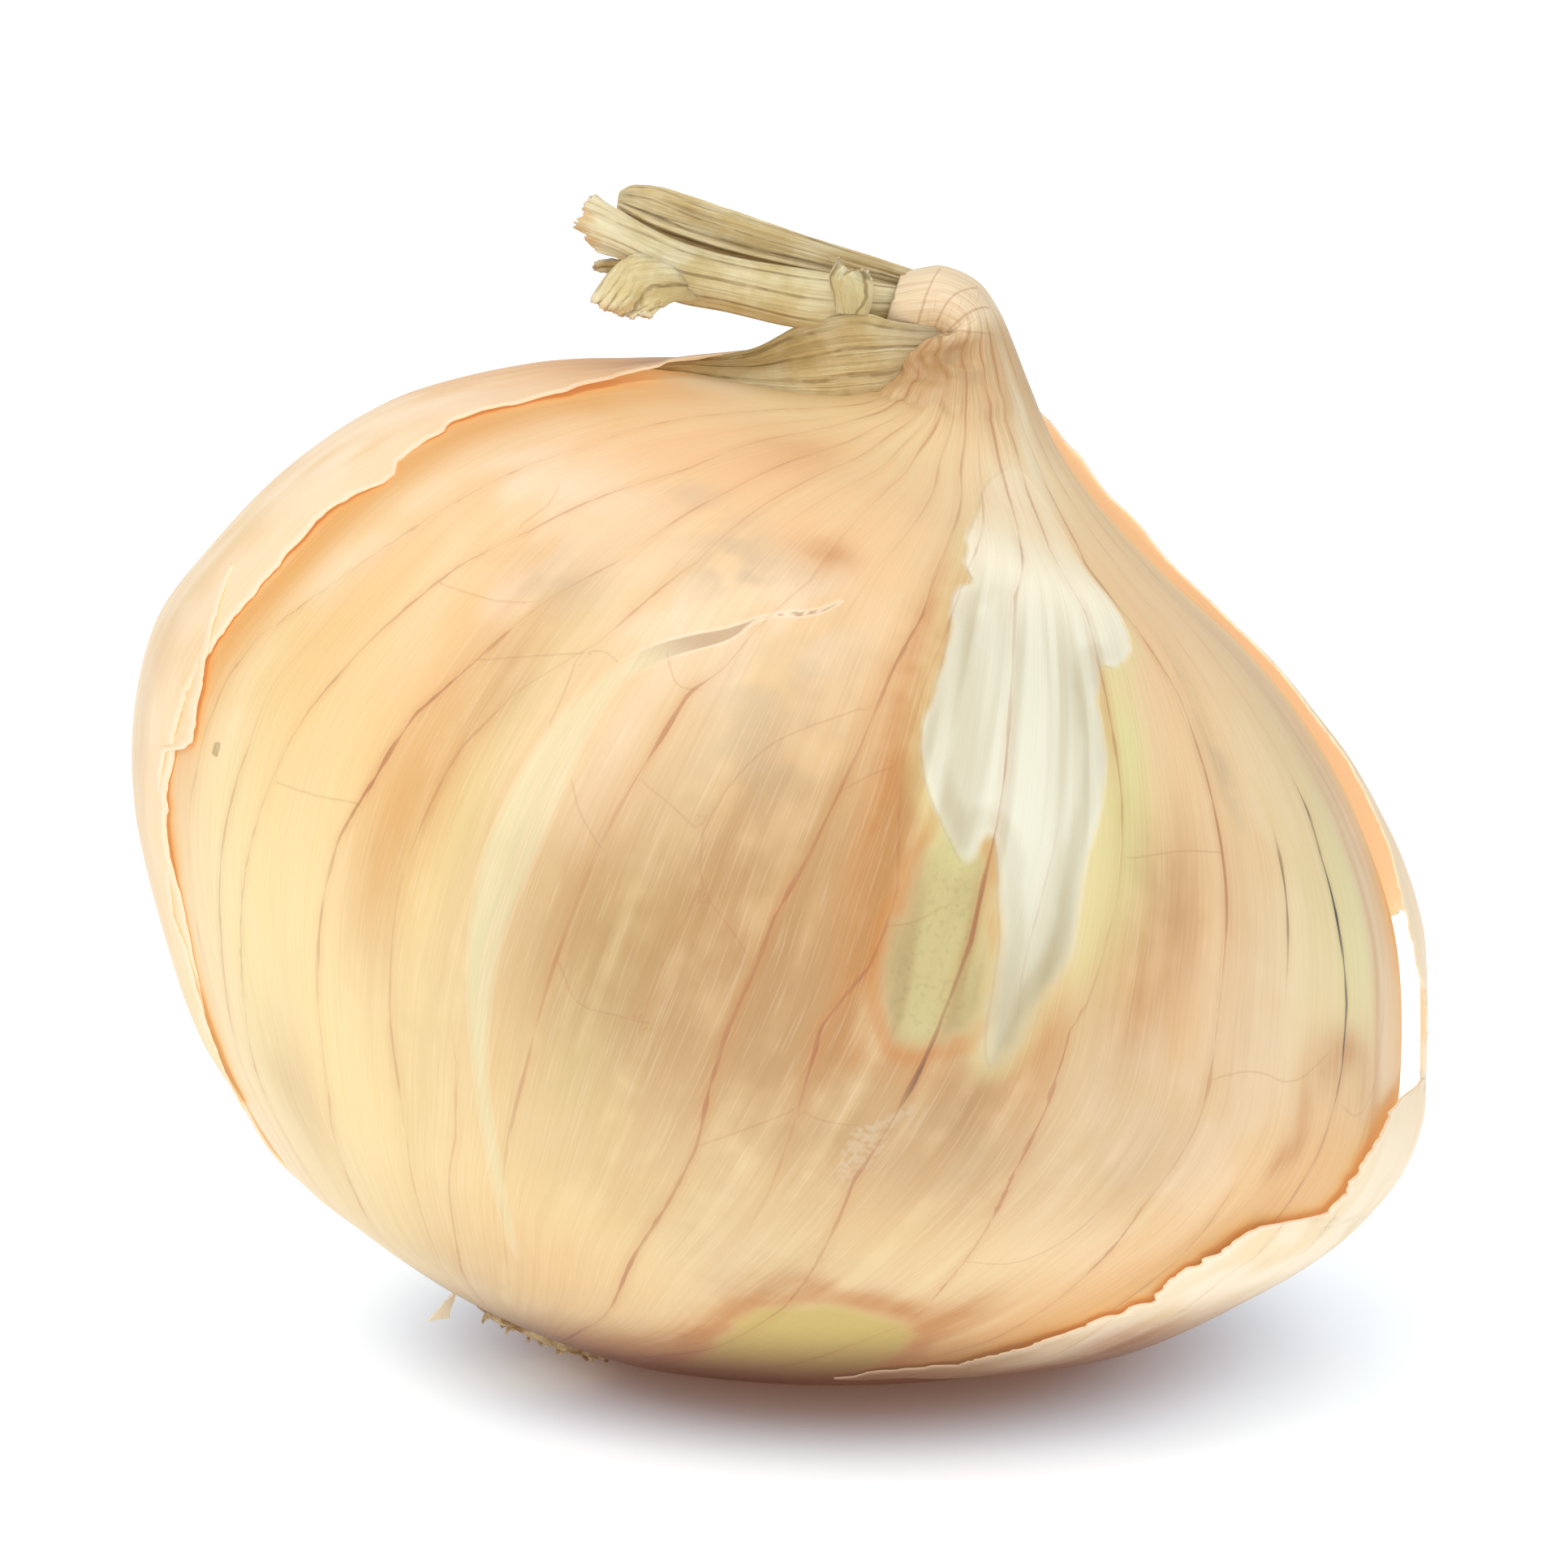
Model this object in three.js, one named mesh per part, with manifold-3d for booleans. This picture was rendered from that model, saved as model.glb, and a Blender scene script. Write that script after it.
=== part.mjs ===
// A whole yellow onion that lies on a table: a broad bulb in its tight skin, with the neck folded over to the left,
// the remains of a loose outer skin round its back, the dried leaf bases that come out of the neck, and the root plate.
// Millimetres. +Z is up, -Y is the front, and the origin is the middle of the flat spot that the bulb rests on.

import * as THREE from "three";
import { mergeVertices } from "three/addons/utils/BufferGeometryUtils.js";
import Module from "manifold-3d";

const wasm = await Module();
wasm.setup();

// Driving dimensions.
const LEAN_BACK = 8; // degrees that the bulb leans away from the front
const REST = { across: 2.5, back: 7.4, height: 0.58 }; // where the flat spot's middle is in the side view
const CLEARANCE = 0.35; // gap between pieces that lie on each other
const SKIN_THICKNESS = 0.6;
const BULB_RINGS = 48;
const BULB_SIDES = 52;
const LOBE_DEPTH = 0.010; // how far the bulb's cross-section departs from a circle, as a share of its radius

// The bulb, neck and collar in the side view, from the root end to the mouth of the collar.
// Each row is one ring of skin: its left end across and up, its right end across and up, and its depth over its width.
const RINGS = [
  [-16.5, 3.3, -16.5, 3.3, 1.0],
  [-20.3, 5.1, -12.0, 1.7, 1.0],
  [-24.4, 7.2, -6.8, 0.6, 1.0],
  [-29.1, 10.7, 0.5, 0.1, 1.0],
  [-33.3, 14.5, 8.3, 0.4, 1.0],
  [-37.8, 21.8, 16.1, 1.6, 1.0],
  [-40.1, 27.9, 22.9, 3.5, 1.0],
  [-41.8, 35.1, 29.6, 6.8, 1.0],
  [-42.2, 41.6, 34.6, 10.4, 1.0],
  [-40.9, 48.1, 38.1, 15.3, 1.0],
  [-37.9, 52.8, 38.9, 21.6, 1.0],
  [-32.1, 58.6, 38.4, 29.4, 1.0],
  [-25.5, 62.8, 35.9, 36.7, 1.0],
  [-18.2, 64.8, 32.2, 42.9, 1.0],
  [-10.9, 65.2, 28.1, 47.8, 1.0],
  [-4.7, 64.5, 23.4, 52.0, 1.0],
  [-0.3, 63.8, 19.2, 56.2, 1.0],
  [3.6, 63.8, 16.2, 60.3, 1.0],
  [5.7, 65.3, 14.5, 64.2, 1.0],
  [6.3, 66.4, 13.5, 66.8, 1.1],
  [8.3, 67.2, 12.5, 69.1, 1.8],
  [9.0, 67.4, 11.2, 70.9, 2.0],
  [8.3, 67.8, 9.1, 71.9, 1.8],
  [6.8, 67.7, 7.5, 71.8, 1.6],
  [4.9, 67.5, 6.1, 71.4, 1.3],
];
const LAST_RING = RINGS.length - 1;
const NECK_STARTS = 16; // ring where the shoulder turns into the neck

// The loose outer skin runs from a torn edge on the right, round the back, to a torn edge on the left.
// Azimuth 0 is the front, 90 the right, 180 the back and 270 the left. Rows are [ring, azimuth].
const SKIN_RIGHT_EDGE = [[4.4, 45], [5, 49], [6.5, 53], [7.7, 54], [8.4, 58], [9.2, 67], [9.8, 77], [10.6, 82], [13, 90],
  [17, 104], [19, 120]];
const SKIN_LEFT_EDGE = [[2, 262], [3.5, 272], [4.5, 281], [5.5, 287], [6.3, 291], [8.4, 291], [9.2, 292], [11, 292],
  [11.5, 294], [12.1, 291], [13.2, 291], [14.2, 282], [14.7, 262], [15.3, 251], [16, 258], [17, 272], [18.4, 285]];
// Rows are [share of the way from the right edge to the left, ring].
const SKIN_FOOT = [[0, 5.0], [0.1, 5.7], [0.3, 6.0], [0.5, 4.9], [0.7, 2.7], [0.85, 2.3], [1, 2.6]];
const SKIN_TOP = [[0, 16.6], [0.25, 17.6], [0.6, 18.5], [1, 18.5]];
const SKIN_COLUMNS = 36;
const SKIN_ROWS = 24;
const SKIN_CROWDING = 1.35; // above 1, columns crowd towards the right edge, where the skin stands off most
const SKIN_TEAR = { azimuth: 106, ring: 10.2, along: 4.4, across: 1.7, through: 2.2 }; // the hole at the right
const TORN = { column: 0.010, row: 0.22 }; // how ragged the skin's edges are

// The dried leaves. Rows run out of the collar: across, up, front, half height, half depth.
const ROLL = [
  [8.2, 70.0, -0.8, 0.7, 1.5],
  [5.2, 70.9, -0.8, 0.75, 1.8],
  [0.5, 72.2, -0.8, 0.95, 2.1],
  [-4.7, 73.7, -0.9, 1.1, 2.2],
  [-8.8, 75.2, -1.0, 1.45, 2.3],
  [-10.9, 76.0, -1.0, 1.3, 2.0],
  [-11.8, 76.3, -1.0, 0.5, 0.9],
];
const FRILL = [
  [7.0, 69.2, 0.6, 0.6, 1.3],
  [4.7, 69.1, 0.8, 1.05, 1.9],
  [0.5, 69.5, 0.9, 1.3, 2.3],
  [-4.7, 70.5, 0.8, 1.6, 2.6],
  [-8.8, 71.1, 0.6, 2.15, 2.7],
  [-10.6, 71.5, 0.5, 2.5, 2.6],
];
const LEAF_SIDES = 20;
const TIP_SIDES = 8;
const LEAF_STEPS = 3; // rings between two rows
const ROLL_FLUTES = { count: 9, depth: 0.10 };
const FRILL_FLUTES = { count: 7, depth: 0.13 };
const PLAIN = { count: 0, depth: 0 };
// Torn tips at the end of the frill. Each runs from its root to its point: across, up, front, half height, half depth.
const FRILL_TIPS = [
  [[-9.6, 73.2, 1.6, 1.2, 0.5], [-11.8, 73.9, 2.2, 1.25, 0.36], [-13.3, 74.7, 2.3, 0.85, 0.32], [-14.2, 74.9, 2.0, 0.3, 0.3]],
  [[-10.3, 75.0, 1.9, 0.6, 0.45], [-12.0, 75.6, 2.2, 0.65, 0.34], [-13.3, 76.1, 1.9, 0.3, 0.3]],
  [[-9.8, 72.0, -0.6, 1.1, 0.5], [-12.4, 71.8, -1.4, 0.75, 0.36], [-13.5, 71.6, -1.6, 0.3, 0.3]],
  [[-9.0, 70.1, 1.8, 1.2, 0.5], [-11.2, 69.7, 2.6, 1.25, 0.36], [-12.7, 69.2, 2.5, 0.7, 0.32], [-13.5, 69.0, 2.1, 0.3, 0.3]],
  [[-8.6, 70.2, -1.4, 1.0, 0.5], [-10.2, 69.2, -2.0, 0.8, 0.36], [-10.8, 68.5, -2.2, 0.3, 0.3]],
];
const SCRAP = [
  [4.4, 67.7, 4.0, 0.5, 1.0],
  [3.4, 68.6, 4.3, 0.45, 1.35],
  [2.9, 70.0, 4.6, 0.34, 1.45],
  [2.7, 71.2, 4.5, 0.32, 1.0],
  [2.4, 72.1, 4.2, 0.3, 0.4],
];

// The root plate and the dried root stubs on it.
const ROOT_PLATE = { radius: 5.0, thickness: 1.6, sunk: 1.1, tilt: 21.5 };
const ROOTS = { count: 24, radius: 0.34, shortest: 0.8, longest: 2.1, above_table: 0.35 };

const SKIN_COLOUR = 0xe9c790;
const LOOSE_SKIN_COLOUR = 0xecd2a6;
const LEAF_COLOUR = 0xcbb98a;
const ROOT_COLOUR = 0xb89a6a;

const radians = THREE.MathUtils.degToRad;
const lerp = THREE.MathUtils.lerp;
const smooth = THREE.MathUtils.smoothstep;

// A repeatable random number generator.
function seeded(seed) {
  let state = seed;
  return () => {
    state = (state * 1664525 + 1013904223) % 4294967296;
    return state / 4294967296;
  };
}

// A row between the rows of a table, on a smooth curve through them.
function rowAt(rows, s) {
  const last = rows.length - 1;
  const i = Math.min(Math.max(Math.floor(s), 0), last - 1);
  const t = s - i;
  const before = rows[Math.max(i - 1, 0)];
  const after = rows[Math.min(i + 2, last)];
  return rows[i].map((b, k) => {
    const a = before[k];
    const c = rows[i + 1][k];
    const d = after[k];
    return 0.5 * (2 * b + (c - a) * t + (2 * a - 5 * b + 4 * c - d) * t * t + (3 * b - a - 3 * c + d) * t * t * t);
  });
}

// The value of a [position, value] table at a position, eased between its rows.
function along(table, position) {
  if (position <= table[0][0]) return table[0][1];
  for (let i = 1; i < table.length; i += 1) {
    const [from, low] = table[i - 1];
    const [to, high] = table[i];
    if (position <= to) return lerp(low, high, (position - from) / (to - from));
  }
  return table[table.length - 1][1];
}

// 1 at the middle of a stretch, 0 at and beyond its ends.
function hump(from, to, value) {
  const t = (value - from) / (to - from);
  return t <= 0 || t >= 1 ? 0 : Math.sin(Math.PI * t) ** 2;
}

// A point of the side view, moved to the front by a depth, in the part's own frame.
function place(across, up, front) {
  const lean = radians(LEAN_BACK);
  return new THREE.Vector3(
    across - REST.across,
    up * Math.sin(lean) - front * Math.cos(lean) - REST.back,
    up * Math.cos(lean) + front * Math.sin(lean) - REST.height,
  );
}

// A point of the bulb's surface, before the table presses it flat.
function roundPoint(azimuth, s) {
  const [leftAcross, leftUp, rightAcross, rightUp, depth] = rowAt(RINGS, s);
  const a = radians(azimuth);
  const onBulb = smooth(s, 0, 3) * (1 - smooth(s, NECK_STARTS - 3, NECK_STARTS + 1));
  const lobes = 1 + LOBE_DEPTH * onBulb * (Math.sin(3 * a + 0.6) + 0.6 * Math.sin(5 * a + 2.2));
  const side = 0.5 * Math.sin(a) * lobes;
  const halfDepth = 0.5 * Math.hypot(rightAcross - leftAcross, rightUp - leftUp) * depth;
  return place(
    0.5 * (leftAcross + rightAcross) + (rightAcross - leftAcross) * side,
    0.5 * (leftUp + rightUp) + (rightUp - leftUp) * side,
    halfDepth * Math.cos(a) * lobes,
  );
}

// A point on or above the bulb's surface, kept above the table.
function bulbPoint(azimuth, s, lift = 0) {
  const point = roundPoint(azimuth, s);
  if (lift !== 0) {
    const step = 0.05;
    const round = roundPoint(azimuth + 1, s).sub(roundPoint(azimuth - 1, s));
    const up = roundPoint(azimuth, Math.min(s + step, LAST_RING)).sub(roundPoint(azimuth, Math.max(s - step, 0)));
    point.addScaledVector(round.cross(up).normalize(), lift);
  }
  point.z = Math.max(point.z, 0);
  return point;
}

// A closed surface over rings of points, with its two ends closed by a point or a flat fan.
function closedTube(rings) {
  const positions = [];
  const sides = rings[0].length;
  const centre = (ring) => ring.reduce((sum, p) => sum.add(p), new THREE.Vector3()).divideScalar(sides);
  const triangle = (a, b, c) => positions.push(...a.toArray(), ...b.toArray(), ...c.toArray());
  for (let i = 0; i + 1 < rings.length; i += 1) {
    for (let j = 0; j < sides; j += 1) {
      const k = (j + 1) % sides;
      triangle(rings[i][j], rings[i][k], rings[i + 1][k]);
      triangle(rings[i][j], rings[i + 1][k], rings[i + 1][j]);
    }
  }
  const start = centre(rings[0]);
  const end = centre(rings[rings.length - 1]);
  for (let j = 0; j < sides; j += 1) {
    const k = (j + 1) % sides;
    triangle(start, rings[0][k], rings[0][j]);
    triangle(end, rings[rings.length - 1][j], rings[rings.length - 1][k]);
  }
  return new THREE.BufferGeometry().setAttribute("position", new THREE.Float32BufferAttribute(positions, 3));
}

// A solid for joining and cutting, whichever way its faces pointed.
function solidOf(geometry) {
  const bare = geometry.index ? geometry.toNonIndexed() : geometry.clone();
  bare.deleteAttribute("normal");
  bare.deleteAttribute("uv");
  const merged = mergeVertices(bare, 1e-4);
  const corners = Array.from(merged.index.array);
  const kept = [];
  for (let i = 0; i < corners.length; i += 3) {
    const [a, b, c] = corners.slice(i, i + 3);
    if (a !== b && b !== c && a !== c) kept.push(a, b, c);
  }
  const build = (triVerts) => new wasm.Manifold(new wasm.Mesh({
    numProp: 3,
    vertProperties: merged.attributes.position.array,
    triVerts: new Uint32Array(triVerts),
  }));
  const made = build(kept);
  if (made.volume() > 0) return made;
  const turned = [];
  for (let i = 0; i < kept.length; i += 3) turned.push(kept[i], kept[i + 2], kept[i + 1]);
  return build(turned);
}

function geometryOf(solid) {
  const mesh = solid.getMesh();
  const geometry = new THREE.BufferGeometry();
  geometry.setAttribute("position", new THREE.Float32BufferAttribute(mesh.vertProperties, 3));
  geometry.setIndex(Array.from(mesh.triVerts));
  geometry.computeVertexNormals();
  return geometry;
}

function piece(name, solid, colour, roughness) {
  const material = new THREE.MeshStandardMaterial({ color: colour, roughness, metalness: 0 });
  const mesh = new THREE.Mesh(geometryOf(solid), material);
  mesh.name = name;
  return mesh;
}

// A leaf lofted along rows of across, up, front, half height and half depth. Grown is added all round.
function leafSolid(rows, flutes = PLAIN, grown = 0, sides = LEAF_SIDES) {
  const rings = [];
  const steps = (rows.length - 1) * LEAF_STEPS;
  for (let i = 0; i <= steps; i += 1) {
    const s = i / LEAF_STEPS;
    const [across, up, front, halfHeight, halfDepth] = rowAt(rows, s);
    const ahead = rowAt(rows, Math.min(s + 0.1, rows.length - 1));
    const behind = rowAt(rows, Math.max(s - 0.1, 0));
    const path = new THREE.Vector3(ahead[0] - behind[0], ahead[1] - behind[1], 0).normalize();
    const ring = [];
    for (let j = 0; j < sides; j += 1) {
      const a = (2 * Math.PI * j) / sides;
      const swell = 1 + flutes.depth * Math.cos(flutes.count * a + 0.5 * s);
      const high = (Math.max(halfHeight, 0.3) * swell + grown) * Math.sin(a);
      const deep = (Math.max(halfDepth, 0.3) * swell + grown) * Math.cos(a);
      ring.push(place(across - path.y * high, up + path.x * high, front + deep));
    }
    rings.push(ring);
  }
  return solidOf(closedTube(rings));
}

function frillSolid(grown = 0) {
  let frill = leafSolid(FRILL, FRILL_FLUTES, grown);
  for (const tip of FRILL_TIPS) frill = frill.add(leafSolid(tip, PLAIN, grown, TIP_SIDES));
  return frill;
}

// The bulb with its neck and folded collar, cut back where the leaves and the root plate sit in it.
function bulbSolid(cutters) {
  const rings = [];
  for (let i = 1; i <= BULB_RINGS; i += 1) {
    const s = (LAST_RING * i) / BULB_RINGS;
    rings.push(Array.from({ length: BULB_SIDES }, (_, j) => bulbPoint((360 * j) / BULB_SIDES, s)));
  }
  return cutters.reduce((bulb, cutter) => bulb.subtract(cutter), solidOf(closedTube(rings)));
}

// How far the loose skin stands off the bulb: close round the back, lifted along its torn edges,
// and stretched straight from the shoulder to the neck at the left.
function skinLift(azimuth, s, share) {
  const leftCurl = 0.9 * smooth(share, 0.93, 1) * hump(5.5, 15, s);
  const rightCurl = 0.5 * (1 - smooth(share, 0, 0.08));
  const rightStandOff = 1.0 * hump(72, 132, azimuth) * hump(6, 15, s);
  const bridge = lerp(0.7, 3.3, smooth(azimuth, 120, 235)) * hump(13.6, 19.4, s);
  return CLEARANCE + leftCurl + rightCurl + rightStandOff + bridge;
}

function looseSkinSolid() {
  const random = seeded(7);
  const grid = [];
  for (let i = 0; i <= SKIN_COLUMNS; i += 1) {
    const column = [];
    for (let j = 0; j <= SKIN_ROWS; j += 1) {
      const share = (i / SKIN_COLUMNS) ** SKIN_CROWDING;
      const foot = along(SKIN_FOOT, share);
      const top = along(SKIN_TOP, share);
      const onSide = i === 0 || i === SKIN_COLUMNS;
      const onEnd = j === 0 || j === SKIN_ROWS;
      const s = lerp(foot, top, j / SKIN_ROWS) + (onEnd ? TORN.row * (random() - 0.5) : 0);
      const raggedShare = share + (onSide ? TORN.column * (random() - 0.5) : 0);
      const azimuth = lerp(along(SKIN_RIGHT_EDGE, s), along(SKIN_LEFT_EDGE, s), raggedShare);
      const lift = skinLift(azimuth, s, share);
      column.push([bulbPoint(azimuth, s, lift), bulbPoint(azimuth, s, lift + SKIN_THICKNESS)]);
    }
    grid.push(column);
  }
  const positions = [];
  const quad = (a, b, c, d) => [a, b, c, a, c, d].forEach((p) => positions.push(...p.toArray()));
  const [inner, outer] = [0, 1];
  for (let i = 0; i < SKIN_COLUMNS; i += 1) {
    for (let j = 0; j < SKIN_ROWS; j += 1) {
      const [a, b, c, d] = [grid[i][j], grid[i + 1][j], grid[i + 1][j + 1], grid[i][j + 1]];
      quad(a[outer], b[outer], c[outer], d[outer]);
      quad(d[inner], c[inner], b[inner], a[inner]);
    }
    const [foot, nextFoot] = [grid[i][0], grid[i + 1][0]];
    const [top, nextTop] = [grid[i][SKIN_ROWS], grid[i + 1][SKIN_ROWS]];
    quad(foot[inner], nextFoot[inner], nextFoot[outer], foot[outer]);
    quad(top[outer], nextTop[outer], nextTop[inner], top[inner]);
  }
  for (let j = 0; j < SKIN_ROWS; j += 1) {
    const [right, rightUp] = [grid[0][j], grid[0][j + 1]];
    const [left, leftUp] = [grid[SKIN_COLUMNS][j], grid[SKIN_COLUMNS][j + 1]];
    quad(right[outer], rightUp[outer], rightUp[inner], right[inner]);
    quad(left[inner], leftUp[inner], leftUp[outer], left[outer]);
  }
  const geometry = new THREE.BufferGeometry().setAttribute("position", new THREE.Float32BufferAttribute(positions, 3));
  return solidOf(geometry).subtract(tearSolid());
}

// The long hole in the loose skin at the right, with a few coarse corners as torn skin has.
function tearSolid() {
  const { azimuth, ring, along: length, across, through } = SKIN_TEAR;
  const middle = bulbPoint(azimuth, ring, CLEARANCE + SKIN_THICKNESS);
  const up = bulbPoint(azimuth, ring + 0.5, 0).sub(bulbPoint(azimuth, ring - 0.5, 0)).normalize();
  const out = bulbPoint(azimuth, ring, 2).sub(bulbPoint(azimuth, ring, 1)).normalize();
  const round = new THREE.Vector3().crossVectors(up, out);
  const hole = new THREE.SphereGeometry(1, 9, 6);
  hole.applyMatrix4(new THREE.Matrix4().makeScale(across, length, through));
  hole.applyMatrix4(new THREE.Matrix4().makeBasis(round, up, out).setPosition(middle));
  return solidOf(hole);
}

// The root plate in its own frame: +Z points into the bulb, and the stubs point down and outwards.
function rootPlateGeometry(grown = 0) {
  const { radius, thickness, sunk } = ROOT_PLATE;
  const profile = [
    [0, sunk + grown],
    [radius * 0.8 + grown, sunk + grown],
    [radius + grown, sunk * 0.6 + grown],
    [radius + grown, -grown],
    [radius * 0.7, sunk - thickness - grown],
    [0, sunk - thickness - 0.1 - grown],
  ].reverse().map(([r, z]) => new THREE.Vector2(r, z));
  return new THREE.LatheGeometry(profile, 28).rotateX(Math.PI / 2);
}

function rootPlateMatrix() {
  const turn = new THREE.Matrix4().makeRotationX(-radians(LEAN_BACK));
  turn.multiply(new THREE.Matrix4().makeRotationY(radians(ROOT_PLATE.tilt)));
  return turn.setPosition(roundPoint(0, 0));
}

function rootPlateSolid() {
  const random = seeded(23);
  const golden = radians(137.5);
  const matrix = rootPlateMatrix();
  let plate = solidOf(rootPlateGeometry().applyMatrix4(matrix));
  for (let i = 0; i < ROOTS.count; i += 1) {
    const out = ROOT_PLATE.radius * 0.86 * Math.sqrt((i + 0.5) / ROOTS.count);
    const turn = i * golden;
    const foot = new THREE.Vector3(out * Math.cos(turn), out * Math.sin(turn), 0.4).applyMatrix4(matrix);
    const splay = 0.25 + 0.5 * random();
    const way = new THREE.Vector3(Math.cos(turn) * splay, Math.sin(turn) * splay, -1).transformDirection(matrix);
    const room = (foot.z - ROOTS.above_table) / Math.max(-way.z, 0.2);
    const length = Math.min(lerp(ROOTS.shortest, ROOTS.longest, random()) + 0.9, room);
    if (length < 0.9) continue;
    const stub = new THREE.CylinderGeometry(ROOTS.radius * 0.6, ROOTS.radius, length, 5);
    stub.translate(0, length / 2, 0);
    stub.applyQuaternion(new THREE.Quaternion().setFromUnitVectors(new THREE.Vector3(0, 1, 0), way));
    stub.translate(foot.x, foot.y, foot.z);
    plate = plate.add(solidOf(stub));
  }
  return plate;
}

const seats = [
  leafSolid(ROLL, ROLL_FLUTES, CLEARANCE),
  frillSolid(CLEARANCE),
  leafSolid(SCRAP, PLAIN, CLEARANCE, TIP_SIDES),
  solidOf(rootPlateGeometry(CLEARANCE).applyMatrix4(rootPlateMatrix())),
];

const onion = new THREE.Group();
onion.add(
  piece("bulb", bulbSolid(seats), SKIN_COLOUR, 0.45),
  piece("outer_skin", looseSkinSolid(), LOOSE_SKIN_COLOUR, 0.5),
  piece("dry_leaf_roll", leafSolid(ROLL, ROLL_FLUTES), LEAF_COLOUR, 0.7),
  piece("dry_leaf_frill", frillSolid(), LEAF_COLOUR, 0.7),
  piece("leaf_scrap", leafSolid(SCRAP, PLAIN, 0, TIP_SIDES), LEAF_COLOUR, 0.7),
  piece("root_plate", rootPlateSolid(), ROOT_COLOUR, 0.9),
);

export default onion;
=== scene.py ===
# A whole yellow onion lying on a pale table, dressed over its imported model.
# Blender works in metres; the shapes are worked out in millimetres.
import math

import bpy
import numpy as np
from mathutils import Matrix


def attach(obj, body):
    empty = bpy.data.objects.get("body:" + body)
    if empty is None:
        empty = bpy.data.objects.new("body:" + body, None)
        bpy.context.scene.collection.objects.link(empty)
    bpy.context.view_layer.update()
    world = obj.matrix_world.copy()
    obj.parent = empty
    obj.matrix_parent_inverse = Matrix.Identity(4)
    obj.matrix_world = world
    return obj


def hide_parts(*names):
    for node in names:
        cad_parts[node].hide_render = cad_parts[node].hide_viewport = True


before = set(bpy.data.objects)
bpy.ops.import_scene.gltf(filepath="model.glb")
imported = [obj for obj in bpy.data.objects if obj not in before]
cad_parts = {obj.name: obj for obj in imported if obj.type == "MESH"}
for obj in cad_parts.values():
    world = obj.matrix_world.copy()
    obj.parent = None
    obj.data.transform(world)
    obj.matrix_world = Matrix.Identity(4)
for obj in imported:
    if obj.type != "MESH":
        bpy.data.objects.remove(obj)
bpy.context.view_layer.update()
bpy.ops.object.select_all(action="DESELECT")

millimetre = 0.001
weldDistance = 0.002 * millimetre
farAway = 9.0    # mm, said of all that lies beyond a mark's reach

# The onion's own shape: the rows of the bulb, neck and collar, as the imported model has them

onionShape = {
    "leanBack": 8,
    "rest": (2.5, 7.4, 0.58),
    "lobeDepth": 0.010,
    "lobes": [(3, 0.6, 1.0), (5, 2.2, 0.6)],    # how many round the bulb, turned how far, share
    "neckStarts": 16,
    # left end across and up, right end across and up, depth over width
    "rings": np.array([
        [-16.5, 3.3, -16.5, 3.3, 1.0], [-20.3, 5.1, -12.0, 1.7, 1.0], [-24.4, 7.2, -6.8, 0.6, 1.0],
        [-29.1, 10.7, 0.5, 0.1, 1.0], [-33.3, 14.5, 8.3, 0.4, 1.0], [-37.8, 21.8, 16.1, 1.6, 1.0],
        [-40.1, 27.9, 22.9, 3.5, 1.0], [-41.8, 35.1, 29.6, 6.8, 1.0], [-42.2, 41.6, 34.6, 10.4, 1.0],
        [-40.9, 48.1, 38.1, 15.3, 1.0], [-37.9, 52.8, 38.9, 21.6, 1.0], [-32.1, 58.6, 38.4, 29.4, 1.0],
        [-25.5, 62.8, 35.9, 36.7, 1.0], [-18.2, 64.8, 32.2, 42.9, 1.0], [-10.9, 65.2, 28.1, 47.8, 1.0],
        [-4.7, 64.5, 23.4, 52.0, 1.0], [-0.3, 63.8, 19.2, 56.2, 1.0], [3.6, 63.8, 16.2, 60.3, 1.0],
        [5.7, 65.3, 14.5, 64.2, 1.0], [6.3, 66.4, 13.5, 66.8, 1.1], [8.3, 67.2, 12.5, 69.1, 1.8],
        [9.0, 67.4, 11.2, 70.9, 2.0], [8.3, 67.8, 9.1, 71.9, 1.8], [6.8, 67.7, 7.5, 71.8, 1.6],
        [4.9, 67.5, 6.1, 71.4, 1.3],
    ]),
}
lastRing = len(onionShape["rings"]) - 1


def curve(a, b, c, d, t):    # a smooth line from b to c, where a and d lie beyond them
    return 0.5 * (2 * b + (c - a) * t + (2 * a - 5 * b + 4 * c - d) * t ** 2 + (3 * b - a - 3 * c + d) * t ** 3)


def rowAt(rows, position):
    last = len(rows) - 1
    i = np.clip(np.floor(position).astype(int), 0, last - 1)
    t = (position - i)[..., None]
    return curve(rows[np.maximum(i - 1, 0)], rows[i], rows[i + 1], rows[np.minimum(i + 2, last)], t)


def eased(value, low, high):
    t = np.clip((value - low) / (high - low), 0, 1)
    return t * t * (3 - 2 * t)


def hump(value, low, high):
    t = np.clip((value - low) / (high - low), 0, 1)
    return np.sin(math.pi * t) ** 2


def place(across, up, front):    # from the side view to the part's own frame
    lean = math.radians(onionShape["leanBack"])
    restAcross, restBack, restHeight = onionShape["rest"]
    y = up * math.sin(lean) - front * math.cos(lean) - restBack
    z = up * math.cos(lean) + front * math.sin(lean) - restHeight
    return np.stack([across - restAcross, y, z], -1)


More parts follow.
